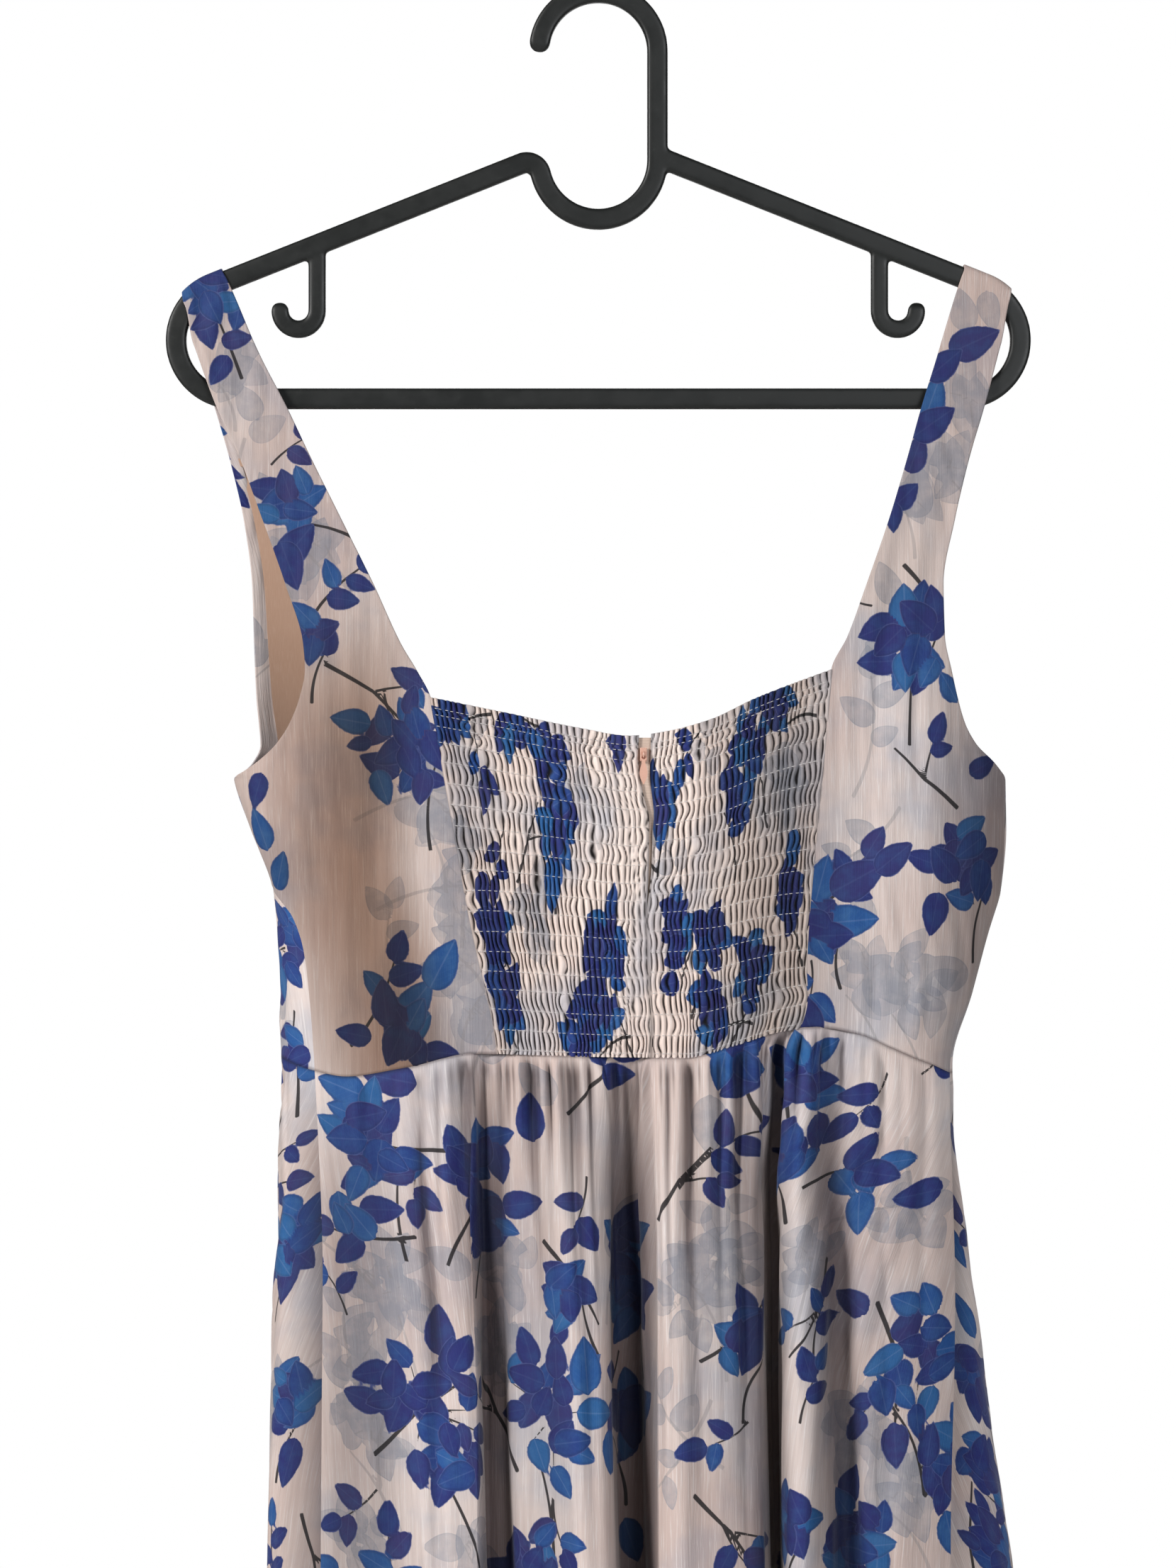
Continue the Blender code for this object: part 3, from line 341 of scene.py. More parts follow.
TWIG_LAYERS = ("dark_twigs", "faded_twigs")
DYE_TONES = (
    (0.00, linear(38, 42, 112)),
    (0.20, linear(35, 46, 116)),
    (0.38, linear(56, 51, 108)),
    (0.50, linear(30, 60, 130)),
    (0.72, linear(28, 76, 148)),
    (0.92, linear(36, 96, 156)),
)


def bowed(length, bow, steps=9):
    """A twig's line: up from 0 by the length, out to one side by bow * length * t squared."""
    t = np.linspace(0, 1, steps)
    return np.stack([bow * length * t**2, length * t], axis=-1)


def side_leaves(rng, line, places, spread, size, tones):
    """Leaves turn and turn about at places along a line, from 0 to 1, and one at its end. A leaf is its foot's
    u and v, its heading, length, width and tone."""
    leaves = []
    for number, place in enumerate([*places, 1.0]):
        at = place * (len(line) - 1)
        i = min(int(at), len(line) - 2)
        step = line[i + 1] - line[i]
        way = math.degrees(math.atan2(step[1], step[0]))
        if place < 1.0:
            way += (1 if number % 2 else -1) * (spread + rng.normal(0, 9))
        length = size * rng.uniform(0.8, 1.15)
        width = length * rng.uniform(0.56, 0.72)
        leaves.append([*(line[i] + step * (at - i)), way, length, width, rng.choice(tones)])
    return leaves


def along_way(degrees):
    """Unit vector (u, v) at an angle."""
    return np.array([math.cos(math.radians(degrees)), math.sin(math.radians(degrees))])


def turning(degrees):
    """Matrix that turns row vectors (u, v) anticlockwise."""
    c, s = along_way(degrees)
    return np.array([[c, s], [-s, c]])


def cluster(rng, size):
    """A heap of rounded leaves laid out as a sunflower's seeds, which thins into brighter stalked ones."""
    count = round(3 + size / 0.0060)
    leaves, twigs = [], []
    for i in range(count):
        out = ((i + 0.5) / count) ** 0.55
        turn = i * SEED_TURN + rng.normal(0, 14)
        heading = turn + rng.normal(0, 85 - 50 * out)
        length = LEAF_LENGTH * rng.uniform(0.84, 1.22)
        foot = 0.40 * size * out * along_way(turn) * (0.8, 1.0) - 0.5 * length * along_way(heading)
        tone = rng.choice(HEART_TONES if out < HEART else RIM_TONES)
        leaves.append([*foot, heading, length, length * (0.78 - 0.16 * out) * rng.uniform(0.9, 1.1), tone])
        if out > HEART:
            twigs.append((np.array([foot * 0.5, foot]), 0.0008))
    stalk = bowed(size * 0.5 + 0.010, rng.uniform(-0.5, 0.5)) + (0.0, -size * 0.70 - 0.010)
    return leaves, twigs + [(stalk, 0.0018)]


def spray(rng, size):
    """A bowed twig with leaves along its outer half."""
    line = bowed(size * 0.75, rng.choice([-1, 1]) * rng.uniform(0.15, 0.4))
    leaves = side_leaves(rng, line, (0.50, 0.66, 0.82), 58.0, LEAF_LENGTH, (0.1, 0.2, 0.35, 0.8))
    return leaves, [(line, 0.0019)]


def trio(rng, size):
    """Three leaves from one short twig."""
    line = bowed(size * 0.5, rng.choice([-1, 1]) * 0.25)
    leaves = side_leaves(rng, line, (0.45, 0.8), 62.0, LEAF_LENGTH * 0.95, (0.05, 0.2, 0.35, 0.7))
    return leaves, [(line, 0.0012)]


def leaf(rng, size):
    size = size * 0.84
    return [[0.0, -size / 2, 90.0, size, size * 0.62, rng.choice([0.1, 0.3, 0.8])]], []


def fork(rng, size):
    """A bare dark twig that bends and forks, with a pair of leaves at one of its ends."""
    line = bowed(size, rng.uniform(-0.2, 0.2), 7)
    line[:, 0] += size * 0.06 * np.abs(np.arange(7) - 3) / 3
    other = line[3] + bowed(size * 0.45, 0.1, 5) @ turning(rng.choice([-48, 48]))
    leaves = side_leaves(rng, other, (0.75,), 60.0, LEAF_LENGTH * 0.8, (0.1, 0.3, 0.8))
    return leaves, [(line, 0.0022), (other, 0.0014)]


def sprig(kind, rng, at, turn, size):
    """One sprig's leaves and twigs on the flat cloth."""
    leaves, twigs = kind(rng, size)
    leaves = np.array(leaves)
    leaves[:, :2] = leaves[:, :2] @ turning(turn) + at
    leaves[:, 2] += turn
    return leaves, [(line @ turning(turn) + at, width) for line, width in twigs]


def into_leaf(flat, row):
    """How far each flat point lies inside a leaf's edge, with its places along and across the leaf.

    The half width at t along the leaf is width / 2 * t^a * (1 - t)^b over that curve's greatest value.
    """
    u, v, heading, length, width, _ = row
    turned = (flat - (u, v)) @ turning(-heading)
    along = turned[:, 0] / length
    t = np.clip(along, 0, 1)
    half = width / 2 * t ** LEAF_SWELL[0] * (1 - t) ** LEAF_SWELL[1] / LEAF_PEAK
    beyond = (along - t) * length
    inside = np.where(beyond == 0, 0.92 * (half - np.abs(turned[:, 1])), -np.hypot(beyond, turned[:, 1]))
    return np.stack([inside, along, turned[:, 1] / (width / 2)], axis=-1)


def by_twig(flat, line, width):
    """Each flat point's place by a twig, in metres: how far to one side of it, how far away, and the twig's
    half width there, which tapers from half its width to a quarter of it."""
    found = np.tile([0.0, -FAR, 0.0], (len(flat), 1))
    for i, (first, second) in enumerate(zip(line[:-1], line[1:])):
        span = np.linalg.norm(second - first)
        way = (second - first) / span
        own = flat - first
        t = np.clip(own @ way / span, 0, 1)
        away = np.linalg.norm(own - t[:, None] * (second - first), axis=1)
        side = own[:, 0] * way[1] - own[:, 1] * way[0]
        half = width / 2 * (1 - 0.5 * (i + t) / (len(line) - 1))
        nearer = away < found[:, 1]
        found[nearer] = np.stack([side, away, half], axis=-1)[nearer]
    return found


def points_near(flat, middle, reach):
    return np.flatnonzero(np.max(np.abs(flat - middle), axis=1) < reach)


def printed(flat, sprigs, faded):
    """Attributes of the print for every flat point, in millimetres: each leaf layer's (inside, along, across),
    the dark layers' tones, and each twig layer's (to one side, away, half width).

    A leaf goes to the layer where it overlaps least of what is already there.
    """
    layers = {name: np.tile([FAR, 0.0, 0.0], (len(flat), 1)) for name in DARK_LAYERS + FADED_LAYERS}
    tones = {name: np.zeros(len(flat)) for name in layers}
    twigs = {name: np.tile([0.0, -FAR, 0.0], (len(flat), 1)) for name in TWIG_LAYERS}
    for names, twig_name, group in ((DARK_LAYERS, "dark_twigs", sprigs), (FADED_LAYERS, "faded_twigs", faded)):
        for row in (row for leaves, _ in group for row in leaves):
            near = points_near(flat, row[:2], row[3] + PRINT_REACH)
            own = into_leaf(flat[near], row)
            taken = [np.sum((layers[name][near, 0] > 0) & (own[:, 0] > 0)) for name in names]
            name = names[int(np.argmin(taken))]
            better = own[:, 0] > layers[name][near, 0]
            layers[name][near[better]] = own[better]
            tones[name][near[better]] = row[5]
        for line, width in (twig for _, lines in group for twig in lines):
            middle = line.mean(axis=0)
            near = points_near(flat, middle, np.max(np.abs(line - middle)) + PRINT_REACH)
            own = by_twig(flat[near], line, width)
            nearer = own[:, 1] < twigs[twig_name][near, 1]
            twigs[twig_name][near[nearer]] = own[nearer]
    found = {name: layer * (1000.0, 1.0, 1.0) for name, layer in layers.items()}
    found["leaf_tones"] = np.stack([tones[name] for name in DARK_LAYERS], axis=-1)
    return found | {name: twig * 1000.0 for name, twig in twigs.items()}


def new_group(name, inputs, outputs):
    """Empty shader group with inputs by name and value, a number or a colour, and outputs by name and type."""
    group = bpy.data.node_groups.new(name, "ShaderNodeTree")
    for key, value in inputs.items():
        kind = "NodeSocketColor" if isinstance(value, tuple) else "NodeSocketFloat"
        group.interface.new_socket(key, in_out="INPUT", socket_type=kind).default_value = value
    for key, kind in outputs.items():
        group.interface.new_socket(key, in_out="OUTPUT", socket_type="NodeSocket" + kind)
    return group, group.nodes.new("NodeGroupInput").outputs, group.nodes.new("NodeGroupOutput")


def leaf_wash_group():
    """One layer of dark leaves as dye on cloth: a colour by tone, pooled and thinned as by a wet brush, with a
    pale middle vein and side veins, and a mask that is soft by half a millimetre at the leaf's edge."""
    numbers = {"Inside": 0.0, "Along": 0.0, "Across": 0.0, "Tone": 0.0, "Wash": 0.5, "Bleed": 0.5}
    tree, entry, leave = new_group("leaf_wash", numbers, {"Mask": "Float", "Colour": "Color"})
    inside, tone = entry["Inside"], entry["Tone"]
    edge = maths(tree, "ADD", inside, maths(tree, "MULTIPLY_ADD", entry["Bleed"], 1.1, -0.55))
    ramp = add(tree, "ValToRGB", Fac=tone)
    elements = ramp.color_ramp.elements
    while len(elements) < len(DYE_TONES):
        elements.new(0.5)
    for element, (position, colour) in zip(elements, DYE_TONES):
        element.position, element.color = position, colour
    thin = ranged(tree, entry["Wash"], 0.36, 0.72, 0.0, 0.62)
    bright = maths(tree, "MULTIPLY", thin, ranged(tree, tone, 0.3, 0.9, 0.35, 1.0))
    dye = blended(tree, bright, ramp.outputs["Color"], linear(66, 112, 164))
    dye = blended(tree, ranged(tree, inside, 0.5, 2.0, 0.30, 0.0), dye, linear(22, 26, 74))
    beside = maths(tree, "ABSOLUTE", entry["Across"])
    slanted = maths(tree, "MULTIPLY_ADD", beside, -0.35, entry["Along"])
    ribs = maths(tree, "ABSOLUTE", maths(tree, "SINE", maths(tree, "MULTIPLY", slanted, 22.0)))
    middle_vein = ranged(tree, beside, 0.015, 0.075, 0.18, 0.0)
    side_veins = ranged(tree, ribs, 0.0, 0.10, 0.12, 0.0)
    veins = maths(tree, "MAXIMUM", middle_vein, side_veins)
    veins = maths(tree, "MULTIPLY", veins, ranged(tree, tone, 0.25, 0.8, 0.30, 1.0))
    dye = blended(tree, veins, dye, linear(134, 160, 204))
    dye = blended(tree, ranged(tree, inside, 0.15, 0.60, 0.42, 0.0), dye, linear(98, 112, 172))
    fill(tree, leave, Mask=ranged(tree, edge, -0.28, 0.28), Colour=dye)
    return tree


def chiffon_group():
    """The bare cloth: blush with drifts of blue-grey, and the crinkle's fine upright streaks. The streaks are
    its relief, painted lighter where they stand high and darker in its low bands: painted highlight and shade.
    """
    tree, entry, leave = new_group(
        "crinkle_chiffon",
        {"Blush": (0.8, 0.7, 0.65, 1.0), "Drift": (0.6, 0.6, 0.65, 1.0), "Drifting": 0.5, "Warmth": 0.5},
        {"Colour": "Color", "Height": "Float", "Wash": "Float", "Bleed": "Float"},
    )
    flat = add(tree, "UVMap", {"uv_map": "flat_cloth"}).outputs["UV"]

    def stretched(*scale, place=(0.0, 0.0, 0.0)):
        return add(tree, "Mapping", Vector=flat, Location=place, Scale=(*scale, 1.0)).outputs["Vector"]

    wander = add(tree, "TexNoise", Vector=flat, Scale=70.0, Detail=2.0).outputs["Color"]
    shifted = add(tree, "VectorMath", {"operation": "MULTIPLY_ADD"})
    for socket, value in zip(shifted.inputs, (wander, (0.9, 0.5, 0.0), stretched(1350.0, 42.0))):
        put(tree, socket, value)
    streak = noise(tree, shifted.outputs["Vector"], 1.0, 3.0, 0.62)
    band = noise(tree, stretched(340.0, 14.0), 1.0, 2.0)
    clouds = noise(tree, flat, 17.0, 4.0, 0.55)
    glow = noise(tree, stretched(11.0, 7.0, place=(3.1, 1.7, 0.0)), 1.0, 3.0)
    drifting = maths(tree, "MULTIPLY", ranged(tree, clouds, 0.44, 0.66), entry["Drifting"])
    warmth = maths(tree, "MULTIPLY", ranged(tree, glow, 0.42, 0.64), entry["Warmth"])
    colour = blended(tree, drifting, entry["Blush"], entry["Drift"])
    # A warm tint, then painted highlight on the crinkle's raised streaks and painted shade in its low bands.
    for share, tint in (
        (warmth, linear(196, 160, 146)),
        (ranged(tree, streak, 0.51, 0.68, 0.0, 0.50), linear(246, 240, 238)),
        (ranged(tree, band, 0.36, 0.58, 0.14, 0.0), linear(150, 128, 122)),
    ):
        colour = blended(tree, share, colour, tint)
    height = maths(tree, "MULTIPLY_ADD", band, 0.5, streak)
    height = maths(tree, "MULTIPLY_ADD", noise(tree, flat, 4200.0, 1.0), 0.12, height)
    wash, bleed = noise(tree, flat, 115.0, 4.0, 0.62), noise(tree, flat, 380.0, 3.0)
    fill(tree, leave, Colour=colour, Height=height, Wash=wash, Bleed=bleed)
    return tree


leaf_wash = leaf_wash_group()
crinkle_chiffon = chiffon_group()


def add_group(tree, group, **inputs):
    node = tree.nodes.new("ShaderNodeGroup")
    node.node_tree = group
    return fill(tree, node, **inputs).outputs


def attribute_parts(tree, name):
    attribute = add(tree, "Attribute", {"attribute_name": name})
    return add(tree, "SeparateXYZ", Vector=attribute.outputs["Vector"]).outputs


def twig_mask(tree, layer, strength):
    """The strength on a twig's own width and near its line, so that its ends are cut off, and 0 elsewhere."""
    parts = attribute_parts(tree, layer)
    over = maths(tree, "SUBTRACT", parts["Z"], maths(tree, "ABSOLUTE", parts["X"]))
    near = maths(tree, "SUBTRACT", maths(tree, "ADD", parts["Z"], 0.9), parts["Y"])
    mask = maths(tree, "MULTIPLY", ranged(tree, over, -0.18, 0.18), ranged(tree, near, 0.0, 0.4))
    return maths(tree, "MULTIPLY", mask, strength)


def faded_mask(tree, layer, strength, wash):
    """The strength inside a faded leaf, more at its rim, less where the dye is thin, and 0 outside."""
    inside = attribute_parts(tree, layer)["X"]
    rim = ranged(tree, maths(tree, "ABSOLUTE", inside), 0.1, 0.7, 1.35, 1.0)
    mask = maths(tree, "MULTIPLY", ranged(tree, inside, -0.2, 0.2, 0.0, strength), rim)
    return maths(tree, "MULTIPLY", mask, ranged(tree, wash, 0.30, 0.62, 0.60, 1.0))


def printed_material(name, blush, drift, drifting, warmth, crinkle, fold_shade_tint):
    """Printed chiffon: the bare cloth, faded leaves and twigs on it, then dark twigs and the dark leaves.

    The shade attribute holds painted shade: a grey one in folds, creases, recesses and across the back (X),
    and a warm one across the back (Y), and the colour is darker where either is more.
    """
    made, tree, shader = new_material(name)
    ground = add_group(tree, crinkle_chiffon, Blush=blush, Drift=drift, Drifting=drifting, Warmth=warmth)
    colour, wash = ground["Colour"], ground["Wash"]
    for layer, strength in zip(FADED_LAYERS, (0.54, 0.44)):
        colour = blended(tree, faded_mask(tree, layer, strength, wash), colour, linear(140, 145, 158))
    twig_dyes = (("faded_twigs", 0.42, linear(150, 146, 148)), ("dark_twigs", 0.96, linear(34, 30, 34)))
    for layer, strength, dye in twig_dyes:
        colour = blended(tree, twig_mask(tree, layer, strength), colour, dye)
    tones = attribute_parts(tree, "leaf_tones")
    for layer, axis in zip(DARK_LAYERS, "XYZ"):
        parts = attribute_parts(tree, layer)
        leaf_place = {"Inside": parts["X"], "Along": parts["Y"], "Across": parts["Z"], "Tone": tones[axis]}
        painted = add_group(tree, leaf_wash, Wash=wash, Bleed=ground["Bleed"], **leaf_place)
        colour = blended(tree, painted["Mask"], colour, painted["Colour"])
    # Painted shade, grey and warm, multiplied into the colour.
    painted_shade = attribute_parts(tree, "painted_shade")
    for axis, tint in (("X", fold_shade_tint), ("Y", linear(168, 146, 130))):
        colour = blended(tree, painted_shade[axis], colour, blended(tree, 1.0, colour, tint, blend="MULTIPLY"))
    fill(
        tree, shader,
        Base_Color=colour,
        Normal=relief(tree, ground["Height"], 0.75, crinkle),
        Roughness=ranged(tree, wash, 0.3, 0.7, 0.62, 0.74),
        Sheen_Weight=0.25,
        Sheen_Roughness=0.4,
        Specular_IOR_Level=0.28,
    )
    return made


# Its last colour is the grey of the painted shade in its folds and recesses.
chiffon = printed_material(
    "printed_chiffon", linear(228, 213, 207), linear(184, 187, 198), 0.70, 0.35, 0.00035, linear(112, 104, 106)
)

# ---- The side backs: the two bodice panels that carry the back straps. Each is cut in one with its strap,
# turned in at the neck and armhole, and goes over the hanger's arm to a shoulder seam on top of it.
CLOTH = 0.0012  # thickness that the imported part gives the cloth
WRAP_CLEARANCE = 0.0007
WRAP_SQUARENESS = 4.0
ROUNDNESS = 2.4
UNDERARM = -0.3765
WAIST = -0.5175
HEM = -1.290
WAIST_REACH = 0.090
STRAP_FOOT = -0.165  # level under the hanger's arm where the strap hangs free of it
SEAM_EDGE = (0.00035, 0.0020)  # radius of the edge where two pieces are sewn, and how far it is turned in
FREE_EDGE = (0.00055, 0.0080)
ROLL_TURNS = (150.0, 115.0, 80.0, 40.0)  # degrees round an edge, from the cloth's inside to its outside
LEAST_CUT = 0.31  # least share of a sheet's flat rectangle that the area worked out for its cut is held to
BODICE_ROWS = {"back": 280, "front": 222}
BODICE_COLUMNS = {"back": 80, "front": 96}
BODICE_RIPPLES = (0.0007, 0.024, 0.050)  # height, width across the cloth and length down it
BODICE_HOLLOWS = (9, 0.0002, 0.0016)  # reach in columns, and the depths where the shade starts and is whole
SEAM_ROW_SHADE = 0.7  # painted shade of the row on the waist seam
SCATTER_PITCH = 0.057
CLOSE_BY = 0.012  # how near a sprig's place has to be to a piece's points
# The dusk is painted shade on the back, grey and warm, and the straps have an even share of it.
DUSK_FROM, DUSK_FULL = 0.27, 0.36  # how far below the hook's top it begins and is whole
STRAP_DUSK = {"fold": 0.14, "warm": 0.26}
DUSK_LEAN = 0.26  # how fast the left panel's dusk moves in towards the waist
LEAN_FROM = 0.42
LEAN_LEFT_OF = -0.04


def table(names, rows, plain=""):
    """A table's columns by name, from rows of text with commas between them. Lengths are in millimetres and
    shares in thousandths, and the plain column is as it stands."""
    names = names.split()
    words = [zip(names, row.split()) for row in rows.split(",")]
    grid = np.array([[float(word if name == plain else word + "e-3") for name, word in row] for row in words])
    return dict(zip(names, grid.T))


SECTIONS = table("z left right back front flat folds", """
-130 -215 213 4.8 4.8 1000 0,
-160 -213 211 4.9 4.9 1000 0,
-200 -208 208 9.5 10 850 0,
-250 -200 203.5 17 19 600 0,
-300 -190 200 26.5 30 300 0,
-345 -181.5 198.5 34.5 42 100 0,
-376.5 -176.8 197.5 36.5 50 0 0,
-400 -169 197.8 37 55 0 0,
-430 -157.8 195.3 36.5 54 0 0,
-450 -155 189.5 35 48 0 0,
-480 -154.3 181.5 33 39 0 100,
-515 -153.8 171.8 31 33 0 150,
-545 -154.6 172 35 37 0 350,
-600 -155.8 179 45 47 0 650,
-680 -159 189.3 58 60 0 900,
-760 -160 200.6 69 71 0 1000,
-950 -166 223 87 88 0 1150,
-1150 -172 244 100 101 0 1300,
-1290 -176 256 107 108 0 1400""")
BACK_LEFT = table("z neck arm", """
-130 -183 -203, -150 -174 -200.5, -172 -164 -193.3, -197 -151 -184, -222 -139 -172.5, -252 -124 -161.2,
-283 -108.5 -150, -312 -95 -141.2, -324.5 -87.5 -140.3, -338 -80.6 -143, -350 -78.3 -147.8,
-360 -76.5 -154.5, -368.5 -74.9 -164, -376.5 -73.4 -176.8""")
BACK_RIGHT = table("z neck arm", """
-130 177.8 201.5, -150 171 198.5, -172 164.5 192.8, -197 156.6 186, -222 149.5 178.5, -252 140.3 171.2,
-283 129.3 165.5, -308 120 166, -324.5 111.9 169.2, -338 110.7 172.2, -350 109.4 175.8, -360 108.3 181.5,
-368.5 107.4 190.5, -376.5 106.5 197.5""")
SIDE_SEAM_LEFT = table("z x", """
-376.5 -176.8, -400 -169, -430 -157.6, -444 -147, -460 -141.8, -485 -138.8, -517.5 -136.5, -620 -131.8,
-760 -132, -1290 -140""")
SIDE_SEAM_RIGHT = table("z x", """
-376.5 197.5, -430 195.3, -480 181.4, -517.5 170, -620 171.5, -760 168, -1290 205""")
SHIRRING_LEFT = table("z x", "-338 -80.6, -517.5 -48.8")
SHIRRING_RIGHT = table("z x", "-324.5 111.9, -517.5 93.5")
WAIST_SEAM = table("bearing z", """
-151 -517, -140 -519.8, -124 -515, -110 -508, -92 -509.5, -82 -510, -74 -504, -67 -497.8, -60 -495.5,
-50 -498.8, -40 -505.8, -28 -512.5, -8 -518.5, 30 -516.5, 90 -513, 150 -511, 185 -511.5, 209 -517""", "bearing")
# Painted shade across the back by x: a grey one (fold) and a warm one (warm).
BACK_DUSK = table("x fold warm", """
-163 100 300, -150 120 620, -136 130 860, -118 170 1000, -103 130 900, -92 80 550, -84 50 250, -70 200 100,
-50 120 50, -15 0 0, 40 0 0, 57 250 0, 88 450 100, 105 350 50, 119 100 50, 136 0 0, 153 50 50, 166 400 100,
180 650 100""")


def through(at, knots, values):
    """Smooth curve through the knots that never swings past them. Each value may be a number or an array."""
    if knots[0] > knots[-1]:
        knots, values = knots[::-1], values[::-1]
    extra = (1,) * (values.ndim - 1)
    chord = np.diff(values, axis=0) / np.diff(knots).reshape(-1, *extra)
    before, after = chord[:-1], chord[1:]
    same_way = before * after > 0
    inner = np.where(same_way, 2 * before * after / np.where(same_way, before + after, 1.0), 0.0)
    slope = np.concatenate([chord[:1], inner, chord[-1:]])
    at = np.clip(at, knots[0], knots[-1])
    i = np.clip(np.searchsorted(knots, at) - 1, 0, len(knots) - 2)
    span = np.reshape(knots[i + 1] - knots[i], np.shape(at) + extra)
    t = np.reshape(at - knots[i], np.shape(at) + extra) / span
    rise = values[i] * (1 + 2 * t) * (1 - t) ** 2 + values[i + 1] * t**2 * (3 - 2 * t)
    return rise + span * (slope[i] * t * (1 - t) ** 2 - slope[i + 1] * t**2 * (1 - t))


def read(columns, wanted, at, key="z"):
    return through(at, columns[key], columns[wanted])


def eased(value, low, high):
    """0 below low and 1 above high, smooth between."""
    t = np.clip((value - low) / (high - low), 0, 1)
    return t * t * (3 - 2 * t)


def bearing_of(x, z, half):
    """Bearing of the point at x on the back or front half of the section at z."""
    left, right = read(SECTIONS, "left", z), read(SECTIONS, "right", z)
    across = np.clip((2 * x - left - right) / (right - left), -1, 1)
    turned = np.degrees(np.arccos(np.sign(across) * np.abs(across) ** (ROUNDNESS / 2)))
    return -turned if half == "back" else turned


def surface(bearing, z, drop=0.0):
    """Points of the dress's middle surface, moved in by the folds' drop.

    A section is a superellipse: x by cos^(2/n) and depth by sin^(2/n) of the bearing, n the roundness.
    """
    left, right, back, front, flat, folds = (read(SECTIONS, name, z) for name in list(SECTIONS)[1:])
    cosine, sine = np.cos(np.radians(bearing)), np.sin(np.radians(bearing))
    across = np.sign(cosine) * np.abs(cosine) ** (2 / ROUNDNESS)
    away = np.abs(sine) ** (2 / ROUNDNESS)
    depth = np.where(sine < 0, back, front) * (flat + (1 - flat) * away) - drop * folds
    x = (left + right) / 2 + across * (right - left) / 2
    return np.stack([x, np.sign(sine) * depth, z + 0 * x], axis=-1)


def waist_height(bearing):
    return read(WAIST_SEAM, "z", bearing, key="bearing")


def bodice_height(level, bearing):
    """Height of a bodice row, which follows the waist seam's rise and fall as it comes near it."""
    near = np.clip((WAIST + WAIST_REACH - level) / WAIST_REACH, 0, 1)
    return level + near**2 * (3 - 2 * near) * (waist_height(bearing) - WAIST)


def over_the_arm(edges, half, share):
    """Rows of a strap over the hanger's arm, a squarish curve from the shoulder line to the bar's side."""
    reach, rise = (size / 2 + WRAP_CLEARANCE + CLOTH / 2 for size in (BAR_DEPTH, BAR_HEIGHT))
    rows = []
    for angle in np.radians(np.linspace(90, 0, 16)):
        lift = rise * math.sin(angle) ** (2 / WRAP_SQUARENESS)
        out = reach * max(math.cos(angle), 0.0) ** (2 / WRAP_SQUARENESS)
        neck, arm = (read(edges, name, arm_height(edges[name][0], lift)) for name in ("neck", "arm"))
        x = neck + (arm - neck) * share
        y = np.full_like(x, -out if half == "back" else out)
        rows.append(np.stack([x, y, arm_height(x, lift)], axis=-1))
    return np.array(rows)


def bodice_form(edges, inner_seam, side_seam, half):
    """A bodice panel's middle surface, its rows at even steps down the cloth, columns from left to right
    as seen from outside. Its edges are the neck or inner seam, and the armhole or side seam."""
    share = np.linspace(0, 1, BODICE_COLUMNS[half] + 1)
    level = np.linspace(STRAP_FOOT, WAIST, BODICE_ROWS[half] // 2)
    inner = np.where(level <= inner_seam["z"][0], read(inner_seam, "x", level), read(edges, "neck", level))
    inner = bearing_of(inner, level, half)
    seam = bearing_of(read(side_seam, "x", level), level, "back")
    if half == "front" and side_seam is SIDE_SEAM_LEFT:
        seam = seam + 360
    outer = np.where(level >= UNDERARM, bearing_of(read(edges, "arm", level), level, half), seam)
    bearing = inner[:, None] + (outer - inner)[:, None] * share
    body = surface(bearing, bodice_height(level[:, None], bearing))
    control = np.concatenate([over_the_arm(edges, half, share), body])
    step = np.linalg.norm(np.diff(control, axis=0), axis=-1).mean(axis=1)
    gone = np.concatenate([[0.0], np.cumsum(step)])
    form = through(np.linspace(0, gone[-1], BODICE_ROWS[half] + 1), gone, control)
    return form[:, ::-1] if outer[-1] < inner[-1] else form


def outward(form):
    """Unit normals of a form whose columns go from left to right and rows from top to bottom."""
    normal = np.cross(np.gradient(form, axis=0), np.gradient(form, axis=1))
    return normal / np.linalg.norm(normal, axis=-1, keepdims=True)


def flat_places(form):
    """Where each point lies on the flat cloth: u is the length along its row from the line x = 0, or from the
    row's nearest end to it, and v is its height, carried on as a length over the hanger's arm."""
    step = np.linalg.norm(np.diff(form, axis=1), axis=-1)
    gone = np.concatenate([np.zeros((len(form), 1)), np.cumsum(step, axis=1)], axis=1)
    nearest = np.argmin(np.abs(form[len(form) * 2 // 3, :, 0]))
    turn = -1 if form[-1, 0, 0] > form[-1, -1, 0] else 1
    u = gone - gone[:, nearest : nearest + 1] + turn * form[:, nearest : nearest + 1, 0]
    v = form[..., 2].copy()
    for row in range(len(form) - 2, -1, -1):
        if form[row, 0, 2] > STRAP_FOOT:
            v[row] = v[row + 1] + np.linalg.norm(form[row] - form[row + 1], axis=-1)
    return np.stack([u, v], axis=-1)


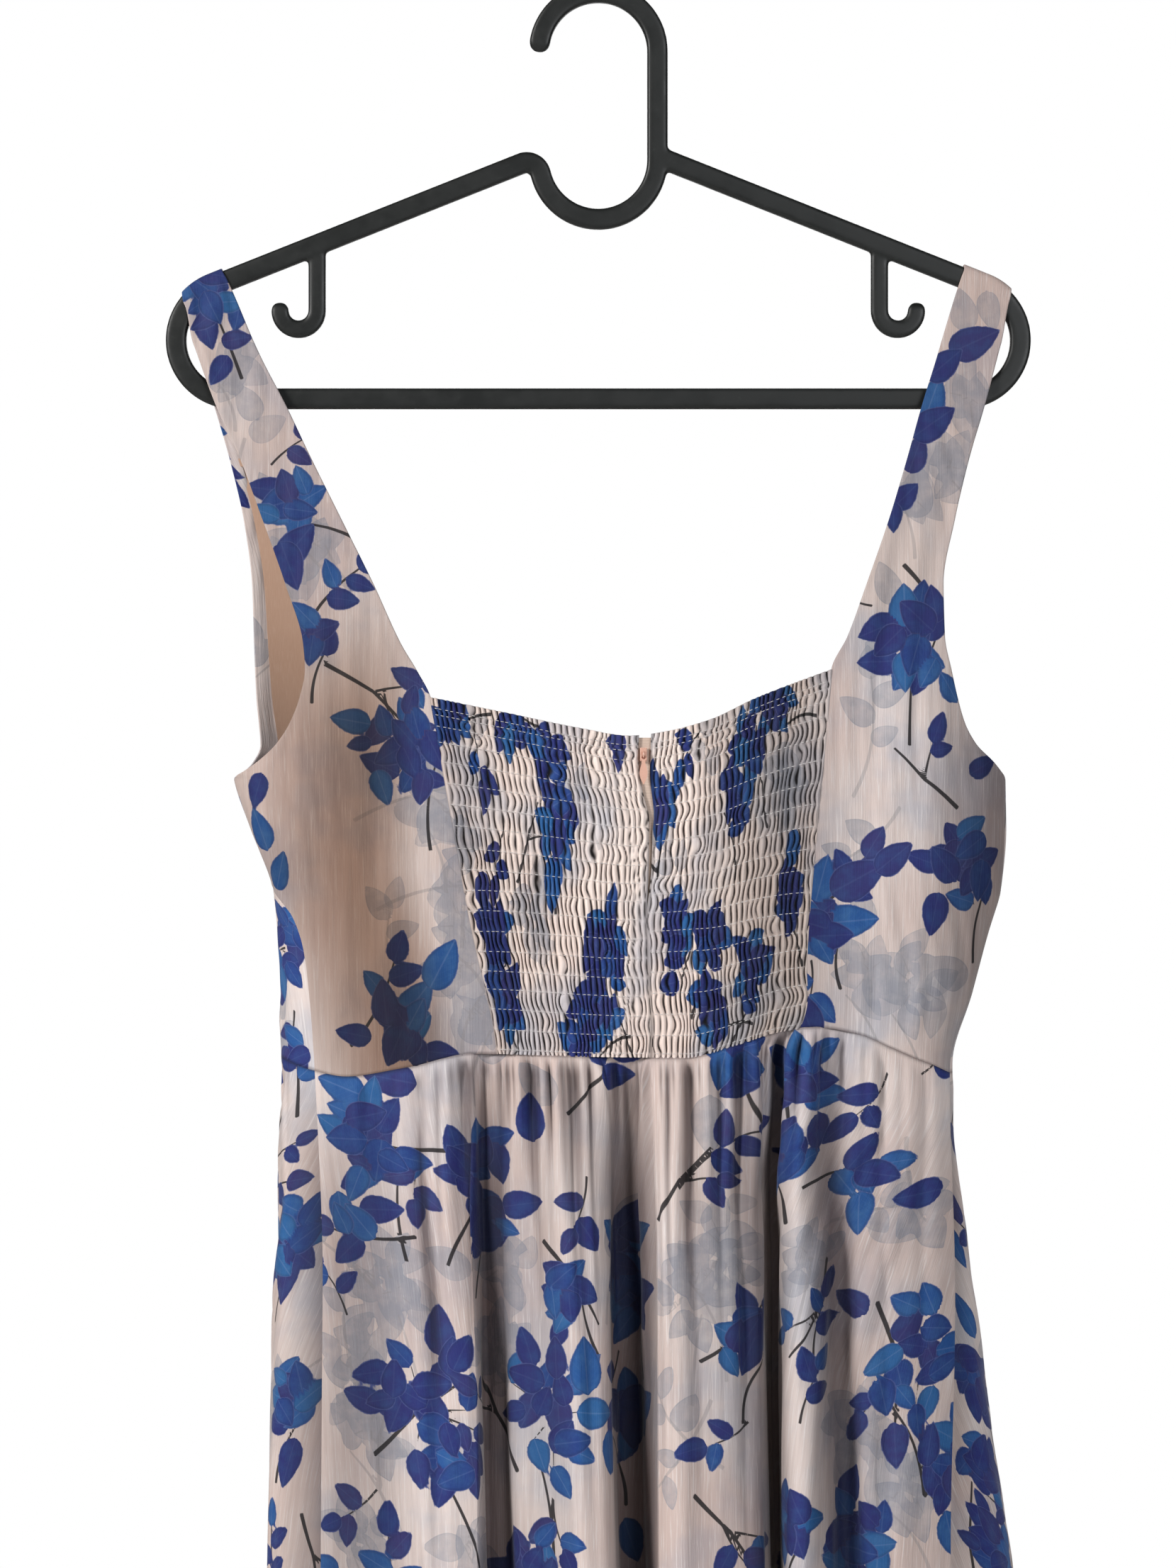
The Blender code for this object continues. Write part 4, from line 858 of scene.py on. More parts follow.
def turned_in(form, flat, normal, edge, roll, turn):
    """Adds a rolled edge: a half circle of radius `roll` inwards, then a return along the cloth's inside.

    edge is top, bottom, left or right. The return is as long as `turn`, rounded to whole rows.
    """
    axis = 0 if edge in ("top", "bottom") else 1
    way = slice(None, None, -1 if edge in ("bottom", "right") else 1)
    form, flat, normal = (np.moveaxis(grid, axis, 0)[way] for grid in (form, flat, normal))
    out = form[0] - form[1]
    out -= np.sum(out * normal[0], axis=-1, keepdims=True) * normal[0]
    spacing = np.linalg.norm(out, axis=-1, keepdims=True)
    out /= spacing
    flat_way = (flat[0] - flat[1]) / spacing
    count = min(max(1, int(round(turn / float(np.median(spacing))))), len(form) - 1)
    turns = np.radians(ROLL_TURNS)[:, None, None]
    bend = form[0] + roll * (out * np.sin(turns) - normal[0] * (1 - np.cos(turns)))
    inner = form[count::-1] - 2 * roll * normal[count::-1]
    length = np.linalg.norm(form[count::-1] - form[0], axis=-1, keepdims=True)
    inner_flat = flat[0] + flat_way * (length + math.pi * roll)
    grids = (
        np.concatenate([inner, bend, form]),
        np.concatenate([inner_flat, flat[0] + flat_way * roll * turns, flat]),
        np.concatenate([normal[count::-1], np.repeat(normal[:1], len(turns), axis=0), normal]),
    )
    return [np.moveaxis(grid[way], 0, axis) for grid in grids]


def dusk(form, column):
    """The back's painted shade at each point by its x, from BACK_DUSK, and the straps' own even one above it."""
    lean = DUSK_LEAN * np.clip(-form[..., 2] - LEAN_FROM, 0, None) * (form[..., 0] < LEAN_LEFT_OF)
    low = eased(-form[..., 2], DUSK_FROM, DUSK_FULL)
    return read(BACK_DUSK, column, form[..., 0] - lean, key="x") * low + STRAP_DUSK[column] * (1 - low)


def hollows(form, normal, reach, shallow, deep):
    """From 0 to 1, how far each point lies in behind the mean of its row's points within `reach` columns."""
    padded = np.pad(form, ((0, 0), (reach, reach), (0, 0)), mode="edge")
    total = np.cumsum(np.pad(padded, ((0, 0), (1, 0), (0, 0))), axis=1)
    mean = (total[:, 2 * reach + 1 :] - total[:, : -2 * reach - 1]) / (2 * reach + 1)
    return eased(np.sum((mean - form) * normal, axis=-1), shallow, deep)


def faces_viewer(form, normal):
    return np.sum(normal * (form - viewpoint), axis=-1) < 0


def seen_places(form):
    """Where each point shows on the hanger's plane, from the viewpoint."""
    away = form - viewpoint
    share = VIEW_DISTANCE / away[..., 1]
    return viewpoint[0] + away[..., 0] * share, viewpoint[2] + away[..., 2] * share


def laid_out(rng, form, flat, normal, *groups):
    """A piece's listed sprigs, group by group. A row is a sprig's kind, the x and z where it shows on the
    hanger's plane in millimetres, its turn from upright in degrees, and its size in millimetres."""
    kinds = {kind.__name__: kind for kind in (cluster, spray, trio, leaf, fork)}
    seen_x, seen_z = seen_places(form)
    hidden = np.where(faces_viewer(form, normal), 0.0, 1.0)
    found = []
    for group in groups:
        sprigs = []
        for kind, *numbers in (row.split() for row in group.split(",") if row):
            x, z, turn, size = (float(number) for number in numbers)
            away = np.hypot(seen_x - x / 1000, seen_z - z / 1000) + hidden
            best = np.unravel_index(np.argmin(away), away.shape)
            if away[best] < CLOSE_BY:
                sprigs.append(sprig(kinds[kind], rng, flat[best], turn, size / 1000))
        found.append(sprigs)
    return found


def scattered(rng, flat, shown):
    """Sprigs in a jittered checker over the flat cloth where `shown` is false: dark ones, faded ones between."""
    low, high = flat.reshape(-1, 2).min(axis=0), flat.reshape(-1, 2).max(axis=0) + SCATTER_PITCH
    kinds = (cluster, spray, trio, fork, cluster, spray)
    dark, faded = [], []
    spare = flat[~shown]
    for column, u in enumerate(np.arange(low[0], high[0], SCATTER_PITCH)):
        for row, v in enumerate(np.arange(low[1], high[1], SCATTER_PITCH)):
            at = np.array([u, v]) + rng.uniform(-0.28, 0.28, 2) * SCATTER_PITCH
            kind = kinds[(column * 2 + row * 3 + int(rng.integers(2))) % len(kinds)]
            turn, size = rng.uniform(-70, 70), rng.uniform(0.8, 1.1) * (0.062 if kind is cluster else 0.070)
            if np.min(np.max(np.abs(spare - at), axis=1)) < CLOSE_BY:
                dark.append(sprig(kind, rng, at, turn, size))
            at = at + SCATTER_PITCH * (0.5 + rng.uniform(-0.15, 0.15, 2))
            if np.min(np.max(np.abs(spare - at), axis=1)) < CLOSE_BY:
                faded.append(sprig(spray if rng.uniform() < 0.6 else cluster, rng, at, turn + 140, size * 1.1))
    return dark, faded


def rippled(form, normal, flat, rng, height, width, length):
    """The form moved out by soft uneven ripples that run down the cloth, none at its edges.

    Three sines across the cloth, each of its own width, each bent along its length by a slower sine.
    """
    total = np.zeros(form.shape[:2])
    for share in (1.0, 0.62, 0.4):
        lean = rng.uniform(-0.12, 0.12)
        bend = 0.35 * width * np.sin(flat[..., 1] / (length * share * 1.7) + rng.uniform(0, 7))
        swell = 0.55 + 0.45 * np.sin(flat[..., 1] / (length * share) + rng.uniform(0, 7))
        across = (flat[..., 0] + lean * flat[..., 1] + bend) * 2 * math.pi / (width * share)
        total += share * swell * np.sin(across + rng.uniform(0, 7))
    end, side = (np.minimum(np.arange(count), np.arange(count)[::-1]) / count for count in form.shape[:2])
    held = eased(side, 0.0, 0.16)[None, :] * eased(end, 0.0, 0.05)[:, None]
    return form + normal * (height * total * held)[..., None]


def grown(values, form, edge):
    """Values of a grid carried on to the points that an edge's turning in added to it."""
    rows, columns = np.array(form.shape[:2]) - values.shape
    down = (rows, 0) if edge == "top" else (0, rows)
    across = (columns, 0) if edge == "left" else (0, columns)
    return np.pad(values, (down, across), mode="edge")


def cloth_piece(name, node, form, flat, normal, edges, material, sprigs=(), shades=()):
    """One sheet on a grid of points, its edges turned in, with its flat places as a UV map and the print's
    attributes."""
    for edge, roll, turn in edges:
        form, flat, normal = turned_in(form, flat, normal, edge, roll, turn)
        shades = [grown(shade, form, edge) for shade in shades]
    attributes = {}
    if sprigs:
        attributes = printed(flat.reshape(-1, 2), *sprigs)
        attributes["painted_shade"] = np.stack([*shades, np.zeros_like(shades[0])], axis=-1)
    index = np.arange(form[..., 0].size).reshape(form.shape[:2])
    quads = np.stack([index[:-1, :-1], index[1:, :-1], index[1:, 1:], index[:-1, 1:]], axis=-1).reshape(-1)
    mesh = bpy.data.meshes.new(name)
    mesh.vertices.add(index.size)
    mesh.vertices.foreach_set("co", form.reshape(-1).astype(np.float32))
    mesh.loops.add(quads.size)
    mesh.loops.foreach_set("vertex_index", quads.astype(np.int32))
    mesh.polygons.add(quads.size // 4)
    mesh.polygons.foreach_set("loop_start", np.arange(0, quads.size, 4, dtype=np.int32))
    mesh.update(calc_edges=True)
    layer = mesh.uv_layers.new(name="flat_cloth")
    layer.uv.foreach_set("vector", flat.reshape(-1, 2)[quads].reshape(-1).astype(np.float32))
    for key, values in attributes.items():
        attribute = mesh.attributes.new(key, "FLOAT_VECTOR", "POINT")
        attribute.data.foreach_set("vector", values.reshape(-1).astype(np.float32))
    piece = made_object(name, mesh, material)
    size = np.ptp(flat.reshape(-1, 2), axis=0)
    across, down = np.diff(flat, axis=1)[:-1], np.diff(flat, axis=0)[:, :-1]
    area = np.abs(across[..., 0] * down[..., 1] - across[..., 1] * down[..., 0]).sum()
    area = float(np.clip(area, LEAST_CUT * size[0] * size[1], size[0] * size[1]))
    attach(piece, "body")
    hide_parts(node)


def bodice_piece(name, node, edges, inner_seam, side_seam, half, seed, places, faded_places=""):
    rng = np.random.default_rng(seed)
    form = bodice_form(edges, inner_seam, side_seam, half)
    flat = flat_places(form)
    form = rippled(form, outward(form), flat, rng, *BODICE_RIPPLES)
    normal = outward(form)
    dark, faded = laid_out(rng, form, flat, normal, places, faded_places)
    # Painted shade: grey in the panel's recesses and on the waist seam's row, and on the backs the dusk.
    painted_shade, warm = hollows(form, normal, *BODICE_HOLLOWS), np.zeros(form.shape[:2])
    if half == "front":
        more_dark, more_faded = scattered(rng, flat, faces_viewer(form, normal))
        dark, faded = dark + more_dark, faded + more_faded
    else:
        painted_shade, warm = np.maximum(0.4 * painted_shade, dusk(form, "fold")), dusk(form, "warm")
    painted_shade[-1] = SEAM_ROW_SHADE
    edges = (("left", *FREE_EDGE), ("right", *FREE_EDGE), ("bottom", *SEAM_EDGE))
    cloth_piece(
        name, node, form, flat, normal, edges, chiffon,
        (dark, faded), (painted_shade, warm),
    )


bodice_piece("left_side_back", "back_side_left", BACK_LEFT, SHIRRING_LEFT, SIDE_SEAM_LEFT, "back", 11, """
cluster -188 -140 20 50, leaf -190 -159 -165 24, leaf -175 -163 -80 19, leaf -184 -179 150 20,
trio -158 -224 -40 46, cluster -150 -242 60 40, leaf -146 -262 -40 30, leaf -150 -274 200 30,
spray -142 -304 -25 50, cluster -139 -307 0 30, leaf -166 -382 160 22, leaf -164 -400 20 26,
leaf -154 -421 -20 24, fork -130 -318 235 52, trio -104 -337 190 48, leaf -93 -328 60 21,
cluster -91 -360 10 58, leaf -121 -348 80 24, leaf -105 -381 200 22, leaf -86 -381 170 21,
leaf -117 -360 100 15, spray -119 -505 -45 58, cluster -94 -500 40 34, leaf -104 -484 5 27,
leaf -88 -484 -38 30, leaf -76 -467 -28 32, leaf -76 -509 -95 22, leaf -119 -501 80 22""", """
leaf -170 -194 30 24, cluster -176 -176 0 30, cluster -150 -276 10 34, cluster -138 -262 40 26,
trio -102 -462 10 44, cluster -73 -396 0 34, cluster -67 -448 20 32, cluster -60 -492 0 36,
leaf -160 -206 -60 24, spray -172 -212 160 50, spray -120 -284 60 70, cluster -78 -372 20 34,
spray -118 -396 -60 60, spray -106 -440 -60 70, cluster -66 -470 0 40, cluster -64 -425 0 30""")
bodice_piece("right_side_back", "back_side_right", BACK_RIGHT, SHIRRING_RIGHT, SIDE_SEAM_RIGHT, "back", 12, """
leaf 183 -165 -65 32, leaf 168 -175 -50 27, leaf 162 -191 -20 27, leaf 163 -204 -55 30,
leaf 154 -218 -20 24, trio 146 -250 20 26, leaf 143 -250 180 18, fork 152 -271 215 58, trio 132 -292 80 34,
cluster 151 -308 0 58, leaf 163 -291 10 22, leaf 148 -326 150 22, leaf 170 -332 30 20, leaf 187 -370 -60 20,
fork 172 -392 40 40, cluster 177 -418 10 52, leaf 158 -416 70 22, leaf 163 -443 170 26,
spray 106 -440 -62 44, leaf 127 -425 -62 36, leaf 143 -414 -52 27, leaf 123 -446 -85 32,
leaf 108 -424 -15 28, cluster 106 -448 20 30, trio 104 -466 190 38, leaf 98 -490 20 30""", """
leaf 177 -148 10 26, leaf 190 -150 190 24, cluster 180 -192 0 30, cluster 171 -226 30 34,
cluster 153 -240 0 26, leaf 140 -282 20 26, leaf 136 -318 40 24, spray 124 -384 -30 70,
spray 146 -392 150 50, cluster 132 -470 10 50, cluster 154 -478 10 56, leaf 170 -470 60 30,
leaf 128 -440 10 26""")

# ---- The fronts: two bodice panels cut in one with the front straps, joined at the centre under a V neck and
# to the side backs at the shoulders and sides. The left one comes round the side into the back view.
FRONT_LEFT = table("z neck arm", """
-130 -183 -203, -150 -174.5 -200.3, -172 -166.5 -193.5, -197 -156 -186, -222 -145 -179, -252 -131 -172.5,
-283 -117 -169, -312 -104 -168.3, -338 -90 -167.3, -350 -80.5 -166.2, -360 -70 -165.5, -368.5 -58 -169,
-376.5 -43 -176.8""")
FRONT_RIGHT = table("z neck arm", """
-130 177.8 201.5, -150 172 198.5, -172 166.5 192.5, -197 159 185, -222 153 177, -252 144 169.5,
-283 133 164, -312 123 162.5, -338 111 164.5, -350 102 167.5, -360 90 173, -368.5 76 183, -376.5 56 197.5""")
CENTRE_FRONT = table("z x", "-376.5 -43, -390 -4, -517.5 -4")
CENTRE_FRONT_RIGHT = table("z x", "-376.5 56, -390 -4, -517.5 -4")

bodice_piece("left_front", "front_left", FRONT_LEFT, CENTRE_FRONT, SIDE_SEAM_LEFT, "front", 13, """
trio -171 -244 190 34, leaf -168 -270 170 22, leaf -164 -309 100 22, leaf -157 -352 60 22,
leaf -162 -375 90 24, leaf -165 -400 160 22, spray -156 -425 20 50, trio -148 -490 170 36,
leaf -149 -500 60 20, leaf -146 -511 110 20""")
bodice_piece("right_front", "front_right", FRONT_RIGHT, CENTRE_FRONT_RIGHT, SIDE_SEAM_RIGHT, "front", 14, """
leaf 189 -372 -70 18, spray 190 -390 170 50""")

# ---- The front linings: plain peach satin, cut like the fronts from the straps' feet down and set a little
# back from their edges, sewn in at the neck and left free at the waist.
LINING = 0.0010
LINING_TOP = -0.220
LINING_GAP = CLOTH / 2 + 0.0003 + LINING / 2
LINING_RIM_ROWS = 4  # of the front's rows, by which the lining is shorter
LINING_SET_BACK = BODICE_COLUMNS["front"] // 8  # of the front's columns, at the centre

satin, tree, shader = new_material("peach_satin")
flat_place = add(tree, "UVMap", {"uv_map": "flat_cloth"}).outputs["UV"]
slub = add(tree, "Mapping", Vector=flat_place, Scale=(2600.0, 160.0, 1.0)).outputs["Vector"]
thread = noise(tree, slub, 1.0, 2.0)
colour = blended(tree, noise(tree, flat_place, 24.0, 3.0), linear(204, 164, 138), linear(221, 184, 160))
# The satin's raised threads are painted lighter, a painted sheen on them.
fill(
    tree, shader,
    Base_Color=blended(tree, ranged(tree, thread, 0.45, 0.7, 0.0, 0.22), colour, linear(236, 206, 186)),
    Roughness=ranged(tree, thread, 0.3, 0.7, 0.42, 0.55),
    Normal=relief(tree, thread, 0.3, 0.00012),
    Sheen_Weight=0.2,
    Specular_IOR_Level=0.45,
)

for side, edges, inner_seam, side_seam, columns in (
    ("left", FRONT_LEFT, CENTRE_FRONT, SIDE_SEAM_LEFT, slice(1, -LINING_SET_BACK, 2)),
    ("right", FRONT_RIGHT, CENTRE_FRONT_RIGHT, SIDE_SEAM_RIGHT, slice(LINING_SET_BACK, -1, 2)),
):
    form = bodice_form(edges, inner_seam, side_seam, "front")
    flat, normal = flat_places(form), outward(form)
    first = int(np.argmax(form[:, BODICE_COLUMNS["front"] // 2, 2] < LINING_TOP))
    part = (slice(first, len(form) - LINING_RIM_ROWS, 2), columns)
    form = form - normal * LINING_GAP
    cloth_piece(
        side + "_front_satin", "front_lining_" + side, form[part], flat[part], normal[part],
        (("top", *SEAM_EDGE), ("bottom", *SEAM_EDGE)), satin,
    )

# ---- The shirred back: chiffon drawn up to half its width by rows of elastic thread, in two halves either
# side of the zip. Between the rows it stands in soft upright tubes, and above the first one in a small frill.
SHIRRING_TOP = table("x z", """
-82 -337.8, -46 -345.3, -9 -353, 13.5 -356.5, 30 -354.5, 52 -348.7, 74 -338.5, 113 -323.2""")
ZIP_LINE = table("z x", "-350 20.8, -385 22.2, -517.5 25")
ZIP_HALF_GAP = table("z x", "-350 3, -369 2.4, -385 0.6, -517.5 0.5")
GATHERING = 2.0
TUBE_PITCH = 0.0027
TUBE_HEIGHT = 0.00115
TUBE_SLIDE = TUBE_PITCH / (2 * math.pi)
ELASTIC_PITCH = 0.0092
FIRST_ROWS = (0.0045, 0.0075, 0.0125)  # of elastic, below the top edge
SHIRRING_ROWS = 230
SHIRRING_COLUMNS = 230
ZIP_LEVEL = -0.43  # where the print of the two halves meets
# The shirring's chiffon is painted lighter than the rest, a painted light, and its near-black tint is painted
# shade.
shirred = printed_material(
    "shirred_chiffon", linear(252, 234, 224), linear(192, 193, 202), 0.80, 0.15, 0.00012, linear(36, 28, 28)
)


def shirring_form(seam, side):
    """Half of the shirred panel's middle surface, from its side seam to the zip, columns from left to right."""
    share = np.linspace(0, 1, SHIRRING_COLUMNS + 1)
    start = seam["z"][0]
    level = np.linspace(start, WAIST, SHIRRING_ROWS + 1)[:, None]
    toward = -1 if side == "left" else 1
    seam_bearing = bearing_of(read(seam, "x", level), level, "back")
    zip_x = read(ZIP_LINE, "x", level) + toward * read(ZIP_HALF_GAP, "x", level)
    bearing = seam_bearing + (bearing_of(zip_x, level, "back") - seam_bearing) * share
    top = read(SHIRRING_TOP, "z", surface(bearing, level)[..., 0], key="x")
    height = top + (waist_height(bearing) - top) * (level - start) / (WAIST - start)
    height = height + (bodice_height(level, bearing[:, :1]) - height[:, :1]) * (1 - share) ** 2
    form = surface(bearing, height)
    return form if side == "left" else form[:, ::-1]


def elastic_rows(length):
    """Distances of the elastic's rows from the top edge: three close ones, then evenly down to the waist."""
    first = FIRST_ROWS[-1] + ELASTIC_PITCH * 0.75
    count = max(2, round((length - first) / ELASTIC_PITCH))
    return np.array([*FIRST_ROWS, *np.linspace(first, length - 0.002, count)])


def with_neighbours(values):
    """Each column's mean with the two beside it, weighed 1, 2, 1."""
    return 0.25 * np.roll(values, 1, axis=1) + 0.5 * values + 0.25 * np.roll(values, -1, axis=1)


def tubes(form, normal, rng):
    """The form stood up in tubes: depth h (2 |cos(p / 2)|^0.8 - 1.2), p a phase of one turn a tube.

    Each tube wanders sideways between the rows of elastic and takes a new way at each. It is low on a row
    and full between two. The flat cloth runs ahead of the panel by -(G - 1) * pitch / 2 pi * sin(p).
    """
    step = np.linalg.norm(np.diff(form, axis=1), axis=-1)
    across = np.concatenate([np.zeros((len(form), 1)), np.cumsum(step, axis=1)], axis=1)
    down = np.concatenate([[0.0], np.cumsum(np.linalg.norm(np.diff(form, axis=0), axis=-1).mean(axis=1))])
    elastic = elastic_rows(down[-1])
    band = np.clip(np.searchsorted(elastic, down), 0, len(elastic))
    bounds = np.concatenate([[-0.004], elastic, [down[-1] + 0.006]])
    t = np.clip((down - bounds[band]) / (bounds[band + 1] - bounds[band]), 0, 1)
    knots = np.arange(-2, int(across[0].max() / TUBE_PITCH) + 10)
    size = (len(bounds), len(knots))
    shift_at = np.cumsum(rng.normal(0, 0.55, size), axis=0)
    shift_at = 0.52 * np.tanh(with_neighbours(shift_at - shift_at.mean(axis=0)))
    kick = with_neighbours(rng.normal(0, 0.50, size))
    fullness = rng.uniform(0.65, 1.30, size)
    phase, height = np.empty(across.shape), np.empty(across.shape)
    total = across[:, -1:].mean()
    for row, (b, part) in enumerate(zip(band, t)):
        share = across[row] / across[row, -1] * total / TUBE_PITCH
        ease, between = part * part * (3 - 2 * part), math.sin(math.pi * part)
        shift = shift_at[b] * (1 - ease) + shift_at[b + 1] * ease + kick[b] * between
        phase[row] = 2 * math.pi * (share + np.interp(share, knots, shift))
        swell = 1.25 - 0.6 * part if b == 0 else 0.34 + 0.66 * between**0.6
        height[row] = swell * np.interp(share, knots, fullness[b])
    crest = np.abs(np.cos(phase / 2))
    side = np.minimum(across, across[:, -1:] - across)
    out = TUBE_HEIGHT * height * (2 * crest**0.8 - 1.2) * eased(side, -0.0004, 0.0016)
    u = GATHERING * across - (GATHERING - 1) * TUBE_SLIDE * np.sin(phase)
    shoved = 0.22 * TUBE_SLIDE * height * np.sin(2 * phase) * eased(side, 0.0, 0.004)
    along = np.gradient(form, axis=1)
    along /= np.linalg.norm(along, axis=-1, keepdims=True)
    # Painted shade in the valleys between full tubes, and half as much within a millimetre of either side edge.
    painted_shade = eased(-crest, -0.60, -0.10) * eased(height, 0.1, 0.8)
    painted_shade = np.maximum(painted_shade, 0.5 * eased(-side, -0.0012, 0.0))
    return form + normal * out[..., None] + along * shoved[..., None], u, painted_shade, down, elastic


def shirred_piece(side, seam, seed, places, faded_places):
    rng = np.random.default_rng(seed)
    base = shirring_form(seam, side)
    normal = outward(base)
    form, u, painted_shade, down, elastic = tubes(base, normal, rng)
    # The shades hold the tubes' and the back's grey painted shade, and the back's warm painted shade.
    shades = (np.maximum(painted_shade, dusk(base, "fold")), dusk(base, "warm"))
    middle, inner_edge = (0, "left") if side == "right" else (-1, "right")
    u = u - u[:, middle][:, None] + GATHERING * read(ZIP_LINE, "x", ZIP_LEVEL)
    flat = np.stack([u, base[..., 2]], axis=-1)
    sprigs = laid_out(rng, base, flat, normal, places, faded_places)
    roll, turn = FREE_EDGE
    edges = ((inner_edge, roll, turn / 2), ("top", roll, turn))
    cloth_piece(
        side + "_shirred_back", "shirring_" + side, form, flat, normal, edges, shirred,
        sprigs, shades,
    )
    return base, down, elastic


left_shirring = shirred_piece("left", SHIRRING_LEFT, 21, """
cluster -72 -345 90 40, cluster -42 -352 90 34, trio -60 -356 200 40, cluster -24 -368 10 50,
cluster -20 -398 0 46, leaf -22 -428 180 34, trio -46 -400 150 46, leaf -56 -432 200 26,
cluster -50 -452 0 40, cluster -44 -484 20 44, cluster 4 -458 0 58, cluster 0 -484 50 50,
cluster -8 -502 90 50, fork -40 -424 -30 40, leaf 8 -358 90 20, leaf 10 -364 170 24""", """
spray -60 -380 0 70, cluster -30 -440 0 60, spray 0 -410 20 70, cluster -66 -410 0 40""")
right_shirring = shirred_piece("right", SHIRRING_RIGHT, 22, """
cluster 84 -338 80 50, cluster 73 -360 20 44, cluster 68 -386 0 40, trio 49 -354 120 38,
cluster 30 -388 0 36, cluster 92 -434 20 34, cluster 38 -450 0 40, cluster 54 -488 80 44,
leaf 94 -412 160 26, fork 28 -424 60 44, cluster 54 -456 -30 44, cluster 74 -468 -30 52,
leaf 58 -498 160 26, leaf 34 -476 100 24""", """
spray 56 -400 0 70, cluster 92 -380 0 50, spray 44 -440 30 60""")

# ---- The elastic's stitches: short stitches of white thread that hold the elastic to the chiffon. They lie
# in the mouths of the valleys between the tubes, along every row.
STITCH_PITCH = 0.0027
STITCH_LENGTH = 0.0017
STITCH_WIDTH = 0.00036
STITCH_LIFT = 0.95 * TUBE_HEIGHT  # over the panel's middle surface
STITCH_RINGS = (-0.98, -0.72, 0.0, 0.72, 0.98)  # places of a stitch's rings along its half length
thread_white, tree, shader = new_material("white_thread")
twist = noise(tree, add(tree, "TexCoord").outputs["Object"], 2500.0, 2.0)
fill(
    tree, shader,
    Base_Color=blended(tree, twist, linear(196, 194, 194), linear(232, 229, 225)),
    Roughness=ranged(tree, twist, 0.3, 0.7, 0.55, 0.7),
)


def stitches(side, seed, base, down, elastic):
    """Capsules of four sides along the rows. A ring at s of the half length is sqrt(1 - s^2) of the width."""
    rng = np.random.default_rng(seed)
    normal = outward(base)
    found = []
    for distance in elastic:
        row = int(np.argmin(np.abs(down - distance)))
        gone = np.concatenate([[0.0], np.cumsum(np.linalg.norm(np.diff(base[row], axis=0), axis=-1))])
        places = np.arange(0.002, gone[-1] - 0.003, STITCH_PITCH)
        places = places + rng.uniform(-0.2, 0.2, len(places)) * STITCH_PITCH
        at, ahead, facing = (
            np.stack([np.interp(where, gone, line[:, axis]) for axis in range(3)], axis=-1)
            for where, line in ((places, base[row]), (places + 0.0005, base[row]), (places, normal[row]))
        )
        way = (ahead - at) / np.linalg.norm(ahead - at, axis=-1, keepdims=True)
        found.append((at + facing * STITCH_LIFT, way, facing))
    centres, ways, outs = (np.concatenate(group)[:, None, None, :] for group in zip(*found))
    s = np.array(STITCH_RINGS)[None, :, None, None]
    turn = np.radians(np.arange(0, 360, 90.0))[None, None, :, None]
    radius = STITCH_WIDTH / 2 * np.sqrt(1 - s**2)
    rings = centres + ways * s * STITCH_LENGTH / 2
    rings = rings + radius * (outs * np.cos(turn) * 0.8 + np.cross(ways, outs) * np.sin(turn))
    index = np.arange(rings[..., 0].size).reshape(rings.shape[:3])
    near, ahead = index[:, :-1], index[:, 1:]
    quads = np.stack([near, np.roll(near, -1, 2), np.roll(ahead, -1, 2), ahead], axis=-1).reshape(-1, 4)
    mesh = bpy.data.meshes.new(side + "_elastic_stitches")
    caps = index[:, 0, ::-1].tolist() + index[:, -1].tolist()
    mesh.from_pydata(rings.reshape(-1, 3).tolist(), [], quads.tolist() + caps)
    piece = made_object(side + "_elastic_stitches", mesh, thread_white)
    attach(piece, "body")


stitches("left", 31, *left_shirring)
stitches("right", 32, *right_shirring)

# ---- The skirt: a left and a right back and one wide front, flared, gathered a little into the waist seam and
# hung in long soft folds to a narrow turned hem. A fold line has its x at the waist, the knee and the hem.
CENTRE_BACK = table("z x", "-517.5 25, -600 28, -760 28.5, -1290 52")
CENTRE_BACK_DROP = 0.0030
KNEE = -0.760
# A line's shade is grey painted shade, spread smoothly between the lines.
FOLDS_BACK_LEFT = table("waist knee hem drop shade", """
-126 -121.5 -129 -1 550, -112 -106 -115 -2 500, -86 -78 -85 -1 0, -62 -57 -58 -3 220,
-56 -51.5 -49 12.5 1000, -47 -42.5 -36 12 900, -40.5 -35 -27 6 250, -28 -17 -6 0 300, -16 -4 11 -5 0,
-6 5 24 -1 50, 3 11 33 17 950, 15 21.2 43 21 950, 22.2 27 50 11 950""")
FOLDS_BACK_RIGHT = table("waist knee hem drop shade", """
34 37 64 -4 0, 47 52 84 -3 350, 61 66 101 -3 300, 72 77.5 114 1 800, 79 83 120 20 600, 86 86.5 125 21 600,
92 89.5 130 0 450, 96.5 96 140 -4 50, 102 106 152 0 600, 112 119 166 8 900, 125 132 179 1 250,
148 148 193 -2 200""")
FOLDS_FRONT = table("share drop", """
60 0, 130 -1, 180 6, 230 -2, 310 -5, 360 1, 390 19, 420 0, 490 -5, 550 0, 580 16, 620 -1, 700 -5, 760 2,
790 14, 830 -1, 900 -2, 950 0""")
GATHERS = table("bearing strength", """
-152 150, -124 300, -112 1000, -60 1000, -50 250, 0 200, 60 600, 120 600, 210 150""", "bearing")
GATHER_SETS = (  # pitch, height and reach
    (0.0062, 0.0017, 0.026),
    (0.0110, 0.0027, 0.075),
    (0.0240, 0.0033, 0.220),
)
SKIRT_ROWS = 284
ROWS_BEND = 0.59  # share of the rows' steps that grows towards the hem
BACK_SKIRT_COLUMNS = 170
FRONT_SKIRT_COLUMNS = 230
DEEP = 0.003
DEEPER = 0.6
SHOWN_DOWN_TO = -0.775  # below it the back's sprigs are scattered
SEAM_SHADES = np.array([0.7, 0.2])  # painted shade of the rows under the waist seam
HEM_EDGE = (0.0005, 0.0100)
SKIRT_RIPPLES = (0.0010, 0.030, 0.110)
SKIRT_HOLLOWS = (8, 0.0002, 0.0026)


